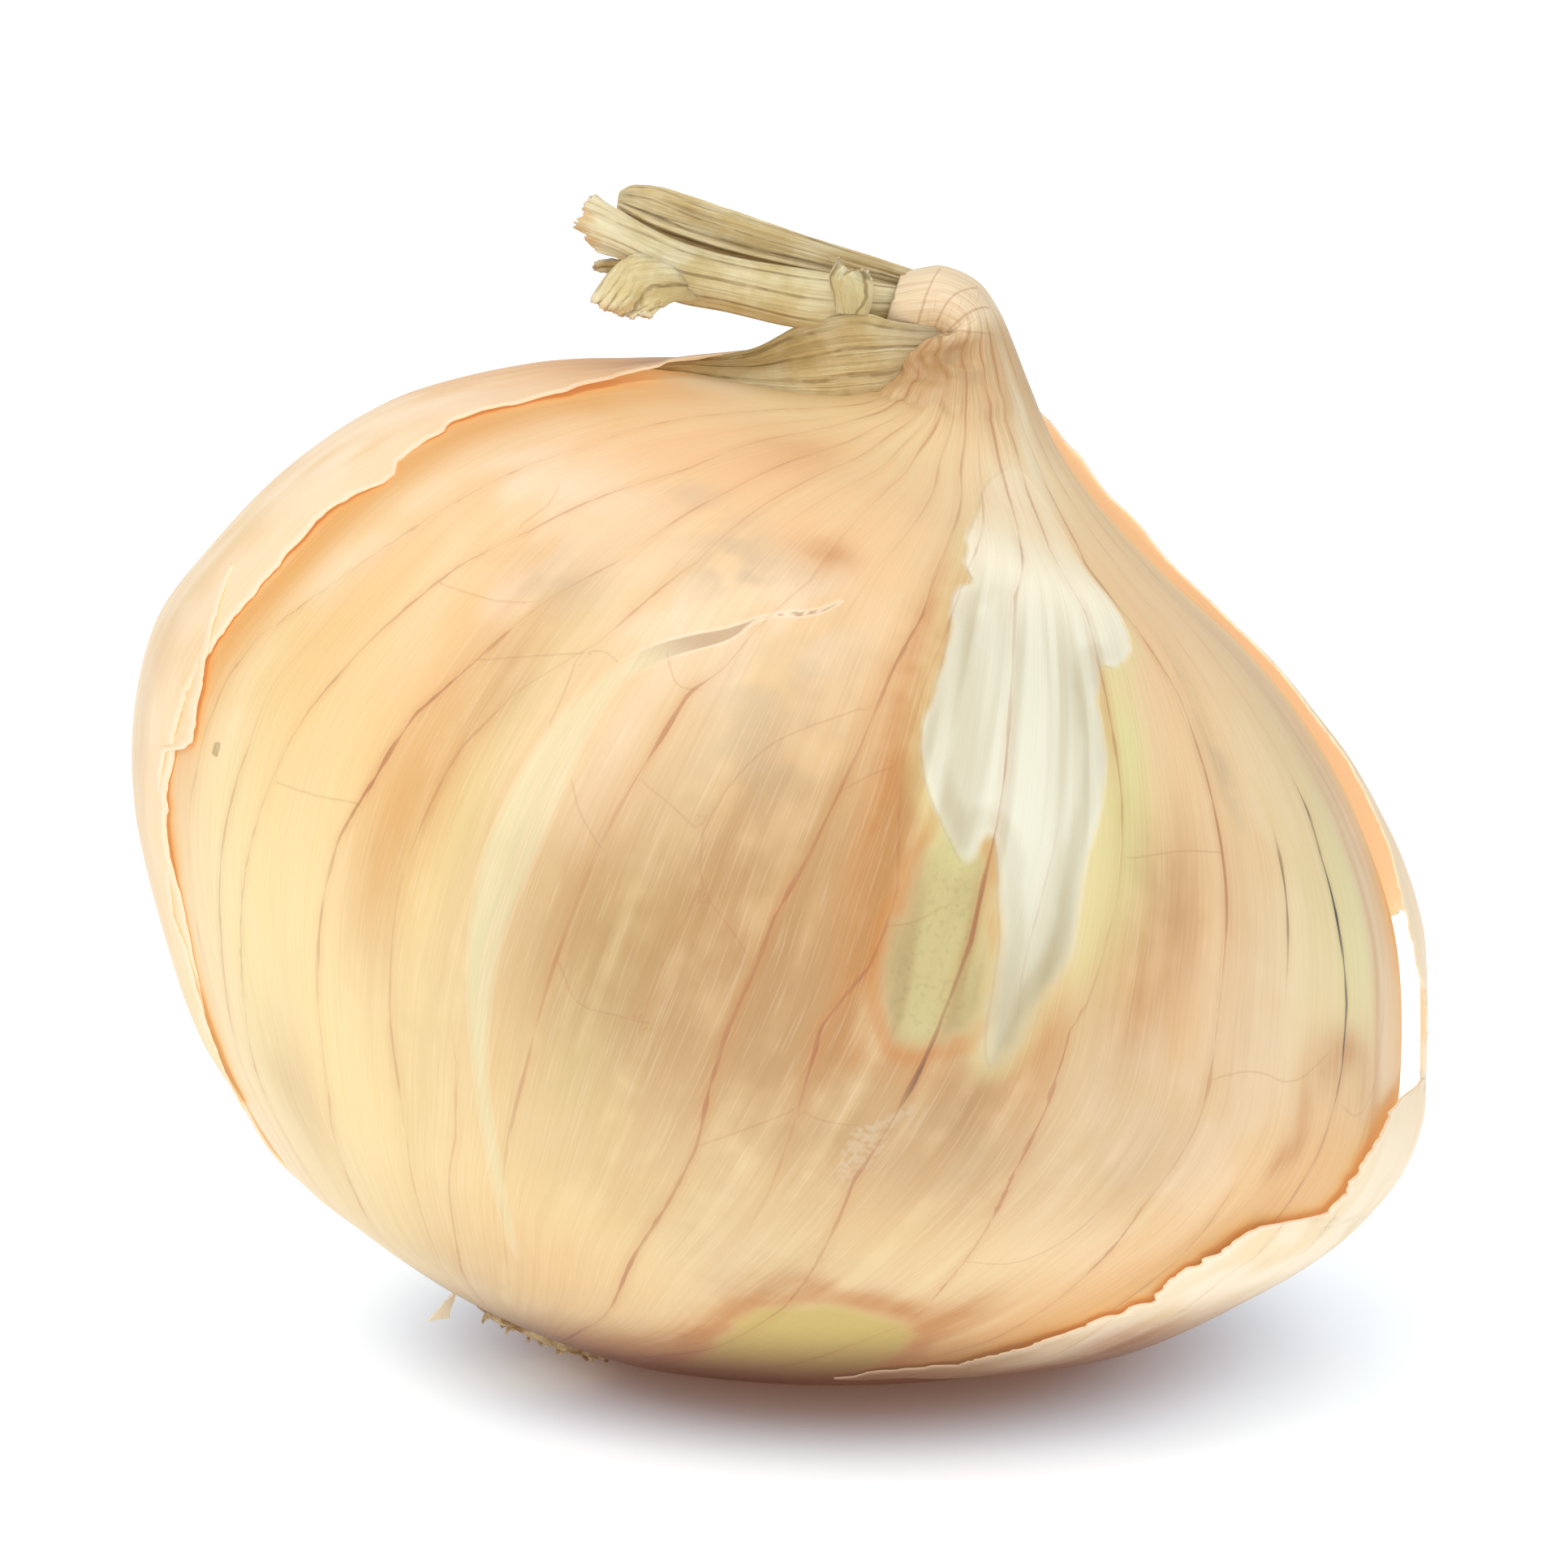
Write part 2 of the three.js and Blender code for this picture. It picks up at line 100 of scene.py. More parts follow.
def roundPoint(azimuth, station):
    row = rowAt(onionShape["rings"], station)
    a = np.radians(azimuth)
    neck = onionShape["neckStarts"]
    onBulb = eased(station, 0, 3) * (1 - eased(station, neck - 3, neck + 1))
    waves = sum(share * np.sin(count * a + turn) for count, turn, share in onionShape["lobes"])
    lobes = 1 + onionShape["lobeDepth"] * onBulb * waves
    side = 0.5 * np.sin(a) * lobes
    width, rise = row[..., 2] - row[..., 0], row[..., 3] - row[..., 1]
    halfDepth = 0.5 * np.hypot(width, rise) * row[..., 4]
    return place(
        0.5 * (row[..., 0] + row[..., 2]) + width * side,
        0.5 * (row[..., 1] + row[..., 3]) + rise * side,
        halfDepth * np.cos(a) * lobes,
    )


def outward(azimuth, station):
    around = roundPoint(azimuth + 1, station) - roundPoint(azimuth - 1, station)
    above, below = np.minimum(station + 0.05, lastRing), np.maximum(station - 0.05, 0)
    normal = np.cross(around, roundPoint(azimuth, above) - roundPoint(azimuth, below))
    return normal / (np.linalg.norm(normal, axis=-1, keepdims=True) + 1e-9)


def bulbPoint(azimuth, station, lift):
    point = roundPoint(azimuth, station) + outward(azimuth, station) * lift[..., None]
    point[..., 2] = np.maximum(point[..., 2], 0)
    return point


# Large odd numbers that mix a cell's place and the seed into a number from 0 to 65535
noiseMix = {"cell": (73856093, 19349663, 83492791), "seed": 2654435, "first": 1274126177, "second": 2246822519}


def noise3(points, seed):    # smooth repeatable noise from -1 to 1
    mix = noiseMix
    cell = np.floor(points).astype(np.int64)
    t = points - cell
    t = t * t * (3 - 2 * t)
    total = np.zeros(points.shape[:-1])
    for corner in range(8):
        step = np.array([corner & 1, corner >> 1 & 1, corner >> 2 & 1])
        h = ((cell + step) * np.array(mix["cell"])).sum(-1) + seed * mix["seed"]
        h = ((h ^ (h >> 13)) * mix["first"]) & 0xFFFFFFFF
        h = ((h ^ (h >> 15)) * mix["second"]) & 0xFFFFFFFF
        value = ((h ^ (h >> 16)) & 0xFFFF) / 32767.5 - 1
        total += value * np.prod(np.where(step, t, 1 - t), axis=-1)
    return total


def noise1(values, seed):
    return noise3(np.stack([values, values * 0, values * 0], -1) + 0.37, seed)


def noise2(x, y, seed, z=0):
    return noise3(np.stack([x, y, 0 * x + z], -1), seed)


def roughly(values, seed):    # coarse and fine together, for a torn edge
    return noise1(values, seed) + 0.5 * noise1(values * 2.7, seed + 1) + 0.35 * noise1(values * 7.3, seed + 2)


# Veins: lines that run from the root to the neck, each a row of (station, azimuth, strength)

frontVeins = [
    [(0, -72, 0), (4, -70, 0), (6, -67, .2), (8, -65, .35), (9.8, -62.8, .5), (10.85, -57, .45), (11.8, -53.5, .4),
     (12.85, -51, .3), (14.3, -53, .3), (16, -60, .5), (24, -66, .6)],
    [(0, -66, 0), (4.5, -66.5, .2), (5.8, -63.5, .5), (6.7, -60.5, .5), (7.8, -58.5, .5), (8.7, -57, .4),
     (9.5, -57, .2), (10.4, -55.5, 0), (12, -47.5, 0), (14, -45, .1), (16, -49, .4), (24, -56, .6)],
    [(0, -58, 0), (3, -63, .2), (4.7, -62.2, .4), (5.9, -59.2, .6), (6.7, -56.8, .7), (7.4, -55.2, .7),
     (8.2, -53.5, .7), (8.9, -52, .7), (9.75, -50.5, .7), (10.3, -49.5, .6), (11.1, -47, .6), (11.7, -43.2, .5),
     (12.3, -41, .5), (13.2, -37.8, .4), (15.1, -41, .3), (17, -45, .6), (24, -48, .6)],
    [(0, -48, 0), (3.4, -50, .3), (5.4, -44.5, .6), (6.4, -44.2, .8), (7.4, -43.5, .8), (8.3, -42.8, .9),
     (9, -40.8, .9), (9.9, -39.8, .9), (10.5, -37.5, .8), (11.2, -35.2, .6), (11.9, -31.2, .4), (13.2, -30, .4),
     (15.4, -32, .3), (17, -35, .6), (24, -39, .6)],
    [(0, -36, 0), (3.8, -32, .3), (5.3, -31.5, .4), (6.7, -33.8, .5), (8.25, -34.8, .5), (9.8, -33.8, .5),
     (10.4, -32, .3), (11.07, -27.5, .5), (12.2, -24.2, .5), (15, -25, .3), (17, -27, .5), (24, -30, .6)],
    [(0, -27, .1), (3.7, -27.2, .7), (4.5, -26, .6), (5.7, -24.8, .4), (6.6, -25.5, .2), (7.5, -28, 0), (10, -29, 0),
     (11, -23, 0), (12.2, -20, 0), (15, -19, .2), (17, -19, .5), (24, -21, .6)],
    [(0, -15, .1), (4.8, -17.5, .2), (6, -18.5, .6), (7, -18, .7), (8.6, -18, .7), (9.45, -18, .7), (10.6, -17.2, .8),
     (11, -17, .7), (11.33, -15, .6), (11.8, -14, .3), (12.55, -11.8, .2), (14.6, -13.5, .3), (17, -12.5, .6),
     (24, -13, .6)],
    [(0, -6, 0), (5, -8, .1), (8, -9.5, .1), (10, -9, 0), (12, -6.5, .1), (14, -5, .3), (17, -4.5, .6), (24, -4.5, .6)],
    [(0, 1, .2), (2.6, .5, .8), (4.9, .2, .9), (6.8, -.2, .95), (7.5, -1.5, .9), (8.2, -2.2, .9), (9.5, -2, .8),
     (10.15, -1, .8), (11.2, 0, .8), (12, .8, .8), (12.7, 2, .7), (13.5, 1.5, .6), (14.2, 1.5, .5), (15.6, 3, .5),
     (17, 3.5, .7), (24, 4, .7)],
    [(0, 9, 0), (3.7, 9.8, .1), (5.5, 9.5, .1), (6.65, 8, .2), (7.7, 6.2, .8), (8.15, 5.5, .9), (8.6, 4.8, 1),
     (8.95, 5.5, 1), (9.4, 6.8, 1), (9.8, 7.2, .9), (10.2, 7.2, .7), (10.75, 5.2, .5), (11.2, 4, .4), (11.9, 4.2, .4),
     (12.65, 5.2, .4), (13.75, 5.8, .4), (15.8, 9.8, .4), (17, 11.5, .6), (24, 13, .6)],
    [(0, 20, 0), (5.05, 20.2, .8), (6.1, 17, .9), (7.1, 14.2, .8), (8.2, 14, 1), (9.2, 14, 1), (10, 14.8, 1),
     (10.5, 14.5, .9), (11.4, 14.5, .7), (12.5, 14, .6), (13.5, 13.8, .6), (14.8, 17, .6), (16.06, 20.5, .6),
     (17, 21, .7), (24, 22, .7)],
    [(0, 26, 0), (5.5, 25, 0), (7.5, 20, 0), (9.3, 20.7, 0), (9.85, 20, .4), (10.2, 20, .4), (10.7, 20.3, .2),
     (11.3, 20.8, 0), (13, 20.5, 0), (15, 21, .1), (17, 27.5, .5), (24, 30, .5)],
    [(0, 33, 0), (5.5, 33.8, .6), (6.2, 31.2, .7), (7.8, 26.8, .7), (8.5, 26, .7), (9, 25.5, .7), (9.5, 25.5, .7),
     (9.85, 26.8, .7), (10.7, 27.8, .7), (11.6, 28, .6), (12.5, 27.2, .6), (13.7, 26.5, .6), (14.2, 24.8, .5),
     (14.9, 25.2, .5), (16.2, 30.5, .6), (17, 34, .7), (24, 36, .7)],
    [(0, 46, 0), (5.6, 46.2, .6), (7.1, 43, .7), (7.9, 41.2, .7), (8.5, 41.2, .8), (10.9, 41.5, .8), (12.1, 41.2, .9),
     (13, 40.8, .9), (13.6, 38.5, .9), (14.1, 36, .8), (14.8, 35.5, .7), (15.8, 41, .6), (17, 46, .7), (24, 49, .6)],
    [(0, 58, 0), (5.7, 56, .4), (6.5, 53, .5), (7.5, 51, .6), (8.6, 49, .2), (9.8, 50, 0), (10.4, 50.3, .2),
     (10.9, 50.6, .8), (11.5, 51, .6), (11.9, 51, 0), (13.75, 49, .2), (15, 50, .2), (17, 58, .5), (24, 62, .6)],
    [(0, 68, 0), (5.5, 66, .2), (7.4, 60, .4), (8.6, 58.8, .6), (9.2, 59.2, .6), (9.9, 61, .8), (10.4, 61.2, 1),
     (11, 60.2, 1), (11.6, 60, 1), (12.05, 60.8, .9), (12.4, 60.6, .1), (12.9, 60, .2), (13.65, 59, .3),
     (15.1, 62, .3), (17, 71, .6), (24, 75, .6)],
    [(0, 80, 0), (7, 72, .2), (9, 67, .4), (9.85, 70, .5), (10.7, 72.8, .5), (11.5, 73.8, .5), (12.25, 74.2, .5),
     (13.3, 72, .4), (14.7, 71, .4), (17, 84, .6), (24, 88, .6)],
]


def backVeins(seed):    # the far side, as regular as an onion's are
    dice = np.random.default_rng(seed)
    stations = np.linspace(0, 24, 13)
    lines = []
    for azimuth in np.arange(98, 282, 11.5):
        wander = azimuth + dice.uniform(-2, 2) + 1.6 * noise1(stations * 0.35, int(azimuth))
        strength = dice.uniform(0.35, 0.85) * np.clip(0.8 + 0.5 * noise1(stations * 0.5, int(azimuth) + 9), 0, 1)
        lines.append([(s, a, k * min(1, s / 3)) for s, a, k in zip(stations, wander, strength)])
    return lines


veins = frontVeins + backVeins(5)


def veinFields(azimuth, station):    # a count that passes a whole number at each vein, the gap in mm, and the strength
    lines, strengths = (
        np.array([np.interp(station, [p[0] for p in vein], [p[i] for p in vein]) for vein in veins]) for i in (1, 2)
    )
    strengths[1::2] *= 1 - 0.8 * eased(station, 15.5, 17.5)    # every other vein fades up the neck
    turned = (azimuth + 120) % 360 - 120    # the first vein lies at about -72
    lines = np.vstack([lines[-1:] - 360, lines, lines[:1] + 360])
    strengths = np.vstack([strengths[-1:], strengths, strengths[:1]])
    below = np.clip((lines <= turned).sum(0) - 1, 0, len(veins))
    column = np.arange(len(turned))
    low, high = lines[below, column], lines[below + 1, column]
    share = (turned - low) / np.maximum(high - low, 0.5)
    near = np.where(share < 0.5, below, below + 1)
    perDegree = np.linalg.norm(roundPoint(azimuth + 0.5, station) - roundPoint(azimuth - 0.5, station), axis=-1)
    return below + share, (high - low) * perDegree, strengths[near, column]


def veinAway(count, gap):    # mm to the nearest of the veins, which pass whole numbers
    return np.abs(count - np.round(count)) * gap


# Marks that have an outline, in (azimuth, station)

marks = {
    "window": [
        (18.8, 16.3), (9.8, 15.82), (3.9, 14.5), (4.5, 13.69), (7.2, 13.47), (4.6, 13.27), (5, 12.87), (5.5, 12.45),
        (5.2, 11.85), (5, 11.51), (5.5, 11.29), (7, 11.01), (9, 10.81), (10.8, 10.65), (12.4, 10.52), (13.4, 10.67),
        (14, 10.91), (15.2, 10.67), (16.2, 10.33), (17.2, 10.11), (17.5, 9.73), (17.8, 9.2), (18.4, 8.98),
        (19.2, 8.82), (20, 8.84), (20.8, 9.0), (21.2, 9.12), (21.7, 9.33), (22.4, 9.61), (23.2, 9.85), (24.2, 10.03),
        (24.5, 10.23), (24.6, 10.45), (24.2, 10.63), (24.2, 10.87), (25, 11.17), (26, 11.51), (26.6, 11.93),
        (26.4, 12.21), (26, 12.57), (27.4, 12.99), (30, 12.98), (33, 13.2), (34.8, 13.45), (35.5, 13.83),
        (35.4, 14.23), (34.6, 14.64), (35, 15.1), (36, 15.6), (36, 16.1), (32, 16.5), (26, 16.5),
    ],
    "olive": [
        (9.8, 11.1), (8.4, 10.6), (7.7, 10.1), (7.5, 9.6), (8, 9.2), (9.2, 8.88), (11, 8.7), (13.5, 8.72),
        (15.5, 8.88), (17.2, 9.15), (17.9, 9.6), (17, 10), (15.8, 10.4), (14.4, 10.75), (12.5, 10.7), (11, 10.95),
    ],
    "yellowFoot": [
        (30, 2.5), (19.2, 3.9), (16.5, 4.7), (19.2, 5.09), (24, 5.42), (28.8, 5.5), (33.2, 5.5), (37.2, 5.3),
        (41, 4.83), (44, 4.2), (46, 3.52), (46, 2.8),
    ],
    "split": [
        (-7.3, 12.5), (-8.8, 12.3), (-10.5, 12.17), (-12.8, 12.06), (-14.4, 11.93), (-15.6, 11.8), (-17.2, 11.66),
        (-19.8, 11.49), (-22.5, 11.28), (-24.5, 11.03), (-25.8, 10.73), (-27, 10.35), (-27.5, 9.93), (-27.6, 9.47),
        (-27.8, 8.81), (-26.9, 8.15), (-24.9, 7.11), (-23.3, 6.51), (-19.8, 5.39), (-15.8, 4.32), (-14.8, 4.42),
        (-18, 5.45), (-21.8, 6.57), (-22.8, 7.39), (-23.3, 8.29), (-22.8, 8.85), (-22.6, 9.71), (-23.4, 10.35),
        (-23.4, 10.81), (-21.9, 11.04), (-19.8, 11.27), (-17.3, 11.46), (-15.5, 11.62), (-14.6, 11.86), (-12.8, 12.0),
        (-10.2, 12.1), (-8.6, 12.22), (-7.4, 12.42),
    ],
    "scuff": [
        (14.8, 8.25), (14, 8.13), (12.5, 7.95), (11.2, 7.67), (11.5, 7.31), (12.8, 6.99), (15.2, 7.03), (14.8, 7.37),
        (14.8, 7.79), (15.5, 8.09),
    ],
    "knot": [(-61.9, 8.42), (-61.3, 8.46), (-61.4, 8.54), (-62, 8.57), (-62.6, 8.5), (-62.5, 8.43)],
}

# Small veins that cross between the long ones, and the grooves round the collar, in (azimuth, station)
crossVeins = [
    [(6.2, 7.69), (3.8, 7.33), (2, 7.07), (-.2, 6.81)],
    [(6.2, 7.69), (8.5, 7.65), (11, 7.73)],
    [(-1, 11.49), (-5, 11.17), (-8.2, 10.85), (-9.8, 10.45), (-10.2, 10.01), (-8.5, 9.45), (-4.8, 9.17), (-3.5, 9.05)],
    [(-16.5, 10.19), (-13.5, 10.12), (-10.4, 10.01)],
    [(-8.7, 9.42), (-9, 9.05), (-9.4, 8.4), (-9, 7.8)],
    [(-47, 10.91), (-43, 10.95), (-39.8, 10.99), (-37, 11.1)],
    [(-37.5, 10.51), (-33.8, 10.67), (-28.5, 10.91), (-26.8, 11.03), (-25, 10.99)],
    [(-51.8, 8.51), (-47, 8.57), (-41.8, 8.71)],
    [(-28.5, 10.85), (-27.6, 10.57), (-27.2, 10.3)],
    [(-18, 9.45), (-20.8, 9.69), (-22.6, 9.95)],
    [(-17.5, 8.15), (-15, 7.81), (-11.8, 7.89), (-8.8, 7.95)],
    [(41, 11.41), (35.2, 11.31), (29, 11.09)],
    [(30.8, 6.59), (35, 6.69), (37, 7.05), (37.4, 7.6)],
    [(-21, 11.25), (-18.5, 11.0), (-16.5, 11.05)],
    [(-46, 12.2), (-44.4, 12.0), (-44.8, 11.7)],
    [(3.4, 11.1), (1.5, 10.95), (.2, 10.8)],
    [(7.4, 9.85), (9.6, 9.98), (11.5, 10.2)],
    [(58, 10.0), (52, 9.6), (47, 9.7), (42, 9.5)],
    [(70, 9.8), (66, 9.4), (62, 9.5)],
    [(-70, 21.2), (-30, 21.1), (10, 20.8), (50, 20.3)],
    [(-70, 22.1), (-20, 21.9), (20, 21.6), (60, 21)],
    [(-60, 22.9), (-10, 22.7), (30, 22.5), (70, 22.2)],
    [(-80, 20.3), (-40, 20.2), (0, 19.9), (40, 19.5)],
]

# Soft stains, and painted shade and highlight among them: azimuth, station, half width in degrees, half length in
# stations, strength
tightStainsAndShade = {
    "peach": [
        (-30, 13.6, 26, 1.5, .8), (-14, 13, 6, .45, .7), (-50, 12.9, 12, .8, .5), (-60, 11.6, 9, 2, .25),
        (-1, 11.6, 6, 1.2, .35), (-20, 10.3, 8, 1.2, .25), (-1, 8.8, 9, 1.5, .45), (34, 10.4, 7, 1.1, .6),
        (44, 10, 8, 2.5, .3), (78, 11.5, 4, 2.2, .7), (40, 14, 6, 1.5, .5), (50, 5, 12, 1.5, .4),
        (-45, 10.3, 9, 1.6, .25), (20, 7.3, 12, .8, .35), (60, 14.5, 14, 1.5, .3),
    ],
    "orange": [
        (4.3, 10.9, 2, 1.2, .8), (6.2, 9.9, 1.6, .9, .8), (6.4, 9.1, 1.5, .7, 1), (3.4, 12, 2, 1.2, .6),
        (2.6, 13.4, 2, 1, .4), (8.4, 8.62, 1.6, .25, .9), (13.5, 8.55, 5, .22, .5), (4.5, 12.2, 1.8, 1, .5),
        (-12.5, 12.97, 3.4, .18, .65), (23.6, 9.2, 1.7, .8, .6), (22.5, 8.8, 1.6, .4, .5), (31.5, 10, 3, .4, .45),
        (34.5, 10.6, 3.5, .5, .35), (14.5, 4.1, 2.6, .7, .9), (15.5, 5.1, 2.4, .4, .7), (22, 5.62, 5.5, .16, .8),
        (30, 5.72, 4.5, .17, .8), (37, 5.75, 3, .5, .9), (40.5, 5.1, 2.4, .5, .5), (62, 10.05, 4, .16, .75),
        (58, 9.85, 2.6, .2, .6), (54.5, 9.4, 1.4, .3, .5), (53.5, 8.8, 1.2, .2, .8), (55, 9.05, 1, .2, .7),
        (68, 9.7, 3, .3, .6), (69.5, 10.7, 1.2, 1.2, .55), (14.6, 12.4, 1, 1.2, .4), (14.8, 11, .9, .8, .5),
        (26.8, 12.6, .9, .8, .4), (1, 12.2, 1.8, .8, .3), (7, 13.5, 2, .8, .3), (-33, 14.4, 8, .6, .3),
    ],
    "tan": [
        (-37.6, 8.6, 2.6, 1.2, .45), (-52, 5.3, 5, .7, .4), (38, 8.4, 6, .8, .5), (-12, 8.5, 14, 2.0, .75),
        (6, 8.2, 13, 1.6, .75), (-2, 10.0, 6, 1.3, .5), (-34, 10.2, 4, 1.4, .4), (22, 7.8, 9, .9, .6),
        (13, 12.2, 2.5, 2.2, .35), (-9, 9.9, 3, .8, .3), (30, 9.6, 5, .8, .4), (-22, 3.6, 20, .8, .4),
        (10, 2.2, 40, 1.2, .5), (45, 10.3, 4, 1.2, .25), (-31, 6.5, 4, 1.2, .2), (75, 12.5, 8, 2.5, .35),
        (-45, 18.4, 40, .7, .5), (-20, 19.0, 26, .5, .5),
    ],
    "white": [
        (50, 17.6, 6, .5, .8), (42, 16.8, 6, .6, .8), (34, 16.0, 8, .6, .5), (58, 16.8, 4, .6, .4),
        (48, 18.6, 4, .5, .4), (23, 16.2, 10, .5, .4),
    ],
    # gold: golden stains; the spots along the loose skin's left edge, azimuth -66 to -74, are painted shadow that the
    # edge casts
    "gold": [
        (-38, 8.6, 2.6, 1.2, .35), (69, 6, 7, .5, .7), (-67, 10.2, 2, 1.4, .6), (-70, 11.4, 2, .7, .6),
        (-71.4, 12.4, 2.2, .6, .7), (-66, 13.3, 8, .25, .5), (62, 8.9, 9, 1.0, .7), (58, 7.9, 9, .9, .7),
        (54, 6.9, 9, .8, .7), (50, 6.0, 9, .7, .7), (46, 5.0, 8, .7, .7), (47, 4.0, 12, .5, .6),
        (20, 3.6, 10, .8, .7), (-40, 10.6, 5, 1.6, .3), (-55, 10.2, 4, 1.4, .3), (-34, 9.2, 3, 1.2, .35),
        (-68, 14.2, 9, .5, .5), (-72, 13.6, 8, .5, .5), (-66, 12.6, 4, 1, .5), (-68, 9.6, 3.4, 1.4, .8),
        (-66.5, 11, 3.4, 1.2, .7), (-67, 12.4, 3, .9, .55), (-70.5, 7.2, 2, 1.2, .5), (-74, 13.6, 5, .5, .6),
        (-10, 4.4, 14, .8, .3), (10, 2.6, 14, .9, .6),
    ],
    "straw": [
        (-50, 7, 12, 2.5, .8), (-56, 9.6, 7, 1.3, .7), (-58, 10.8, 5, .9, .7), (-11, 5.7, 14, 1.6, .7),
        (-38, 5.6, 12, 1.8, .8), (-32, 8.2, 5, 2, .5), (22, 6.6, 9, .6, .4), (-44, 9.6, 5, 1.4, .5),
        (-20, 7.2, 6, 1.4, .5), (50, 12.6, 7, 1.6, .3),
    ],
    "green": [
        (29.4, 12.2, 2.2, .9, .9), (28.3, 11.2, 2.6, .8, .9), (25.6, 10.7, 1.6, .7, .6), (7.5, 11, 1.6, .4, .6),
        (9.5, 10.8, 2.4, .25, .6), (65, 11, 3.4, 1.3, .75), (60.5, 10.9, 2.2, .9, .6), (-31, 9.2, 2, 1.4, .35),
        (-13, 8.1, 3, 1.2, .35), (54, 11, 3.5, .9, .4), (17.3, 10, 1, .5, .5), (-58, 7.3, 4, 1.8, .25),
    ],
    # brown: brown smudges; the wide band at the root end, station 0.6, is painted shade where the bulb meets the table
    "brown": [
        (-4, 9.4, 4, .8, .55), (19.5, 8.4, 3, .45, .9), (33.5, 10.9, 5, .7, .55), (57, 7.5, 5, .6, .8),
        (69, 5.9, 8, .5, .6), (-15, 8.4, 4, .7, .4), (15, 5.25, 6, .3, .4), (10, 5.9, 20, .5, .25),
        (-20, 18.7, 42, 1.1, .5), (6.9, 9.3, 1.2, 1, .7), (5.2, 10.6, 1.2, 1, .5), (0, .6, 90, .7, .7),
        (-20, 1.6, 30, .5, .3), (-6.5, 10.2, 1.8, .8, .75), (-12, 8.5, 4.6, .9, .8), (-15.2, 9.3, 2.4, .5, .35),
        (-9, 9.1, 2.6, .6, .35), (-1, 8.9, 7, .9, .6), (2, 8.3, 4, .5, .4), (-34.5, 9.2, 1.2, .9, .4),
        (-33, 10.5, 3, .4, .3), (-37, 11.4, 5, .25, .25), (11, 9.6, 3, .8, .3), (44, 12.7, 1.4, .9, .4),
        (0, 10.2, 3, .7, .3), (-12, 12.7, 3, .3, .2), (10.5, 7.4, 2, .4, .3),
    ],
    "grey": [
        (-21.8, 12.4, 5, .4, .7), (-17, 12.3, 4, .3, .5), (-32.8, 12.93, 3.4, .2, .45), (-9.5, 11.03, 4, .6, .6),
        (-4, 11.6, 4, .5, .3), (-36, 11.43, 4, .22, .4), (43.6, 13.1, 1.2, .4, .6), (44.6, 12.1, 1.3, .4, .6),
        (10, 11.05, 2.4, .3, .3), (20, 7.8, 5, .4, .25), (31, 13.8, 2, .2, .4),
    ],
    # pale: paler cream patches, partly painted highlight
    "pale": [
        (-41, 11.3, 5, .7, .95), (-11, 12.2, 6, .5, .6), (-12, 11.4, 5, .5, .6), (-59.5, 10.9, 3.5, .8, .6),
        (-48, 12.1, 7, .5, .5), (-38, 12.4, 8, .4, .35), (34, 9, 6, 1.2, .4), (46, 8.6, 7, 1.6, .45),
        (52, 11.4, 5, 1.8, .35), (-24, 11.6, 4, .4, .5), (-20.5, 10.8, 1.6, .9, .45), (-30, 11.6, 4, .3, .4),
        (-60, 9, 4, .6, .3), (-55, 12.2, 4, .4, .4), (20, 15.5, 9, .8, .5),
    ],
    "ink": [
        (61, 12.1, 1.2, .16, 1), (60.2, 11.2, 1.8, .8, 1), (61, 10.4, 1.8, .5, 1), (51, 11.1, 1.3, .5, .8),
        (14, 9.4, 1, .9, .25), (14.2, 8.4, 1, .35, .5), (35.8, 13.7, .7, .06, .8),
    ],
}


looseStainsAndShade = {
    "peach": [
        (230, 14.5, 40, 1.4, .8), (262, 12.5, 20, 1.4, .6), (283, 13, 9, .8, .5), (180, 9, 60, 4, .35),
        (285, 7.5, 10, 2.5, .4), (120, 12, 25, 3, .5),
    ],
    # orange: stains; the strong spot at azimuth 64, station 6.1, is painted shade where the flap curls down
    "orange": [
        (277, 14.4, 12, .6, .6), (64, 5, 14, .5, .4), (64, 6.1, 8, .4, .95), (200, 13.8, 30, .6, .3),
        (250, 15, 20, .4, .4),
    ],
    "gold": [(90, 4.2, 30, .6, .4), (262, 3.4, 20, .8, .4), (264, 13.6, 22, .8, .65)],
    "straw": [(282, 6, 10, 2, .8), (200, 6, 50, 3, .4)],
    "green": [(287, 5.4, 4, 1, .5), (150, 10, 14, 3, .3)],
    # brown: smudges; the spot at azimuth 52, station 5.6, is painted shade under the flap's low edge
    "brown": [(160, 15.5, 60, 1.2, .3), (215, 9, 12, 1.5, .25), (52, 5.6, 10, .4, .5)],
    "tan": [
        (279, 8.3, 4, 1.6, .35), (255, 14.4, 26, .8, .5), (70, 3.6, 40, .7, .5), (180, 3, 90, .8, .5),
        (150, 14, 40, 1.4, .3),
    ],
    "grey": [(240, 8, 10, 2, .3)],
    "pale": [(278, 11.5, 14, 3, .75), (70, 7.2, 18, 1.6, .9), (100, 8.5, 16, 3, .7), (58, 6.2, 6, 1, .8)],
    "ink": [],
    "white": [(56, 6.6, 5, 1.2, .4), (75, 8.6, 6, 1, .4), (272, 2, 14, .8, .95)],
}


def segments(points, closed):    # where each part of a line starts and ends
    return (points, np.roll(points, -1, axis=0)) if closed else (points[:-1], points[1:])


def rounded(outline, closed):    # cuts the corners twice
    points = np.array(outline, float)
    for cutAgain in range(2):
        starts, ends = segments(points, closed)
        cut = np.stack([0.75 * starts + 0.25 * ends, 0.25 * starts + 0.75 * ends], 1).reshape(-1, 2)
        points = cut if closed else np.vstack([points[:1], cut, points[-1:]])
    return points


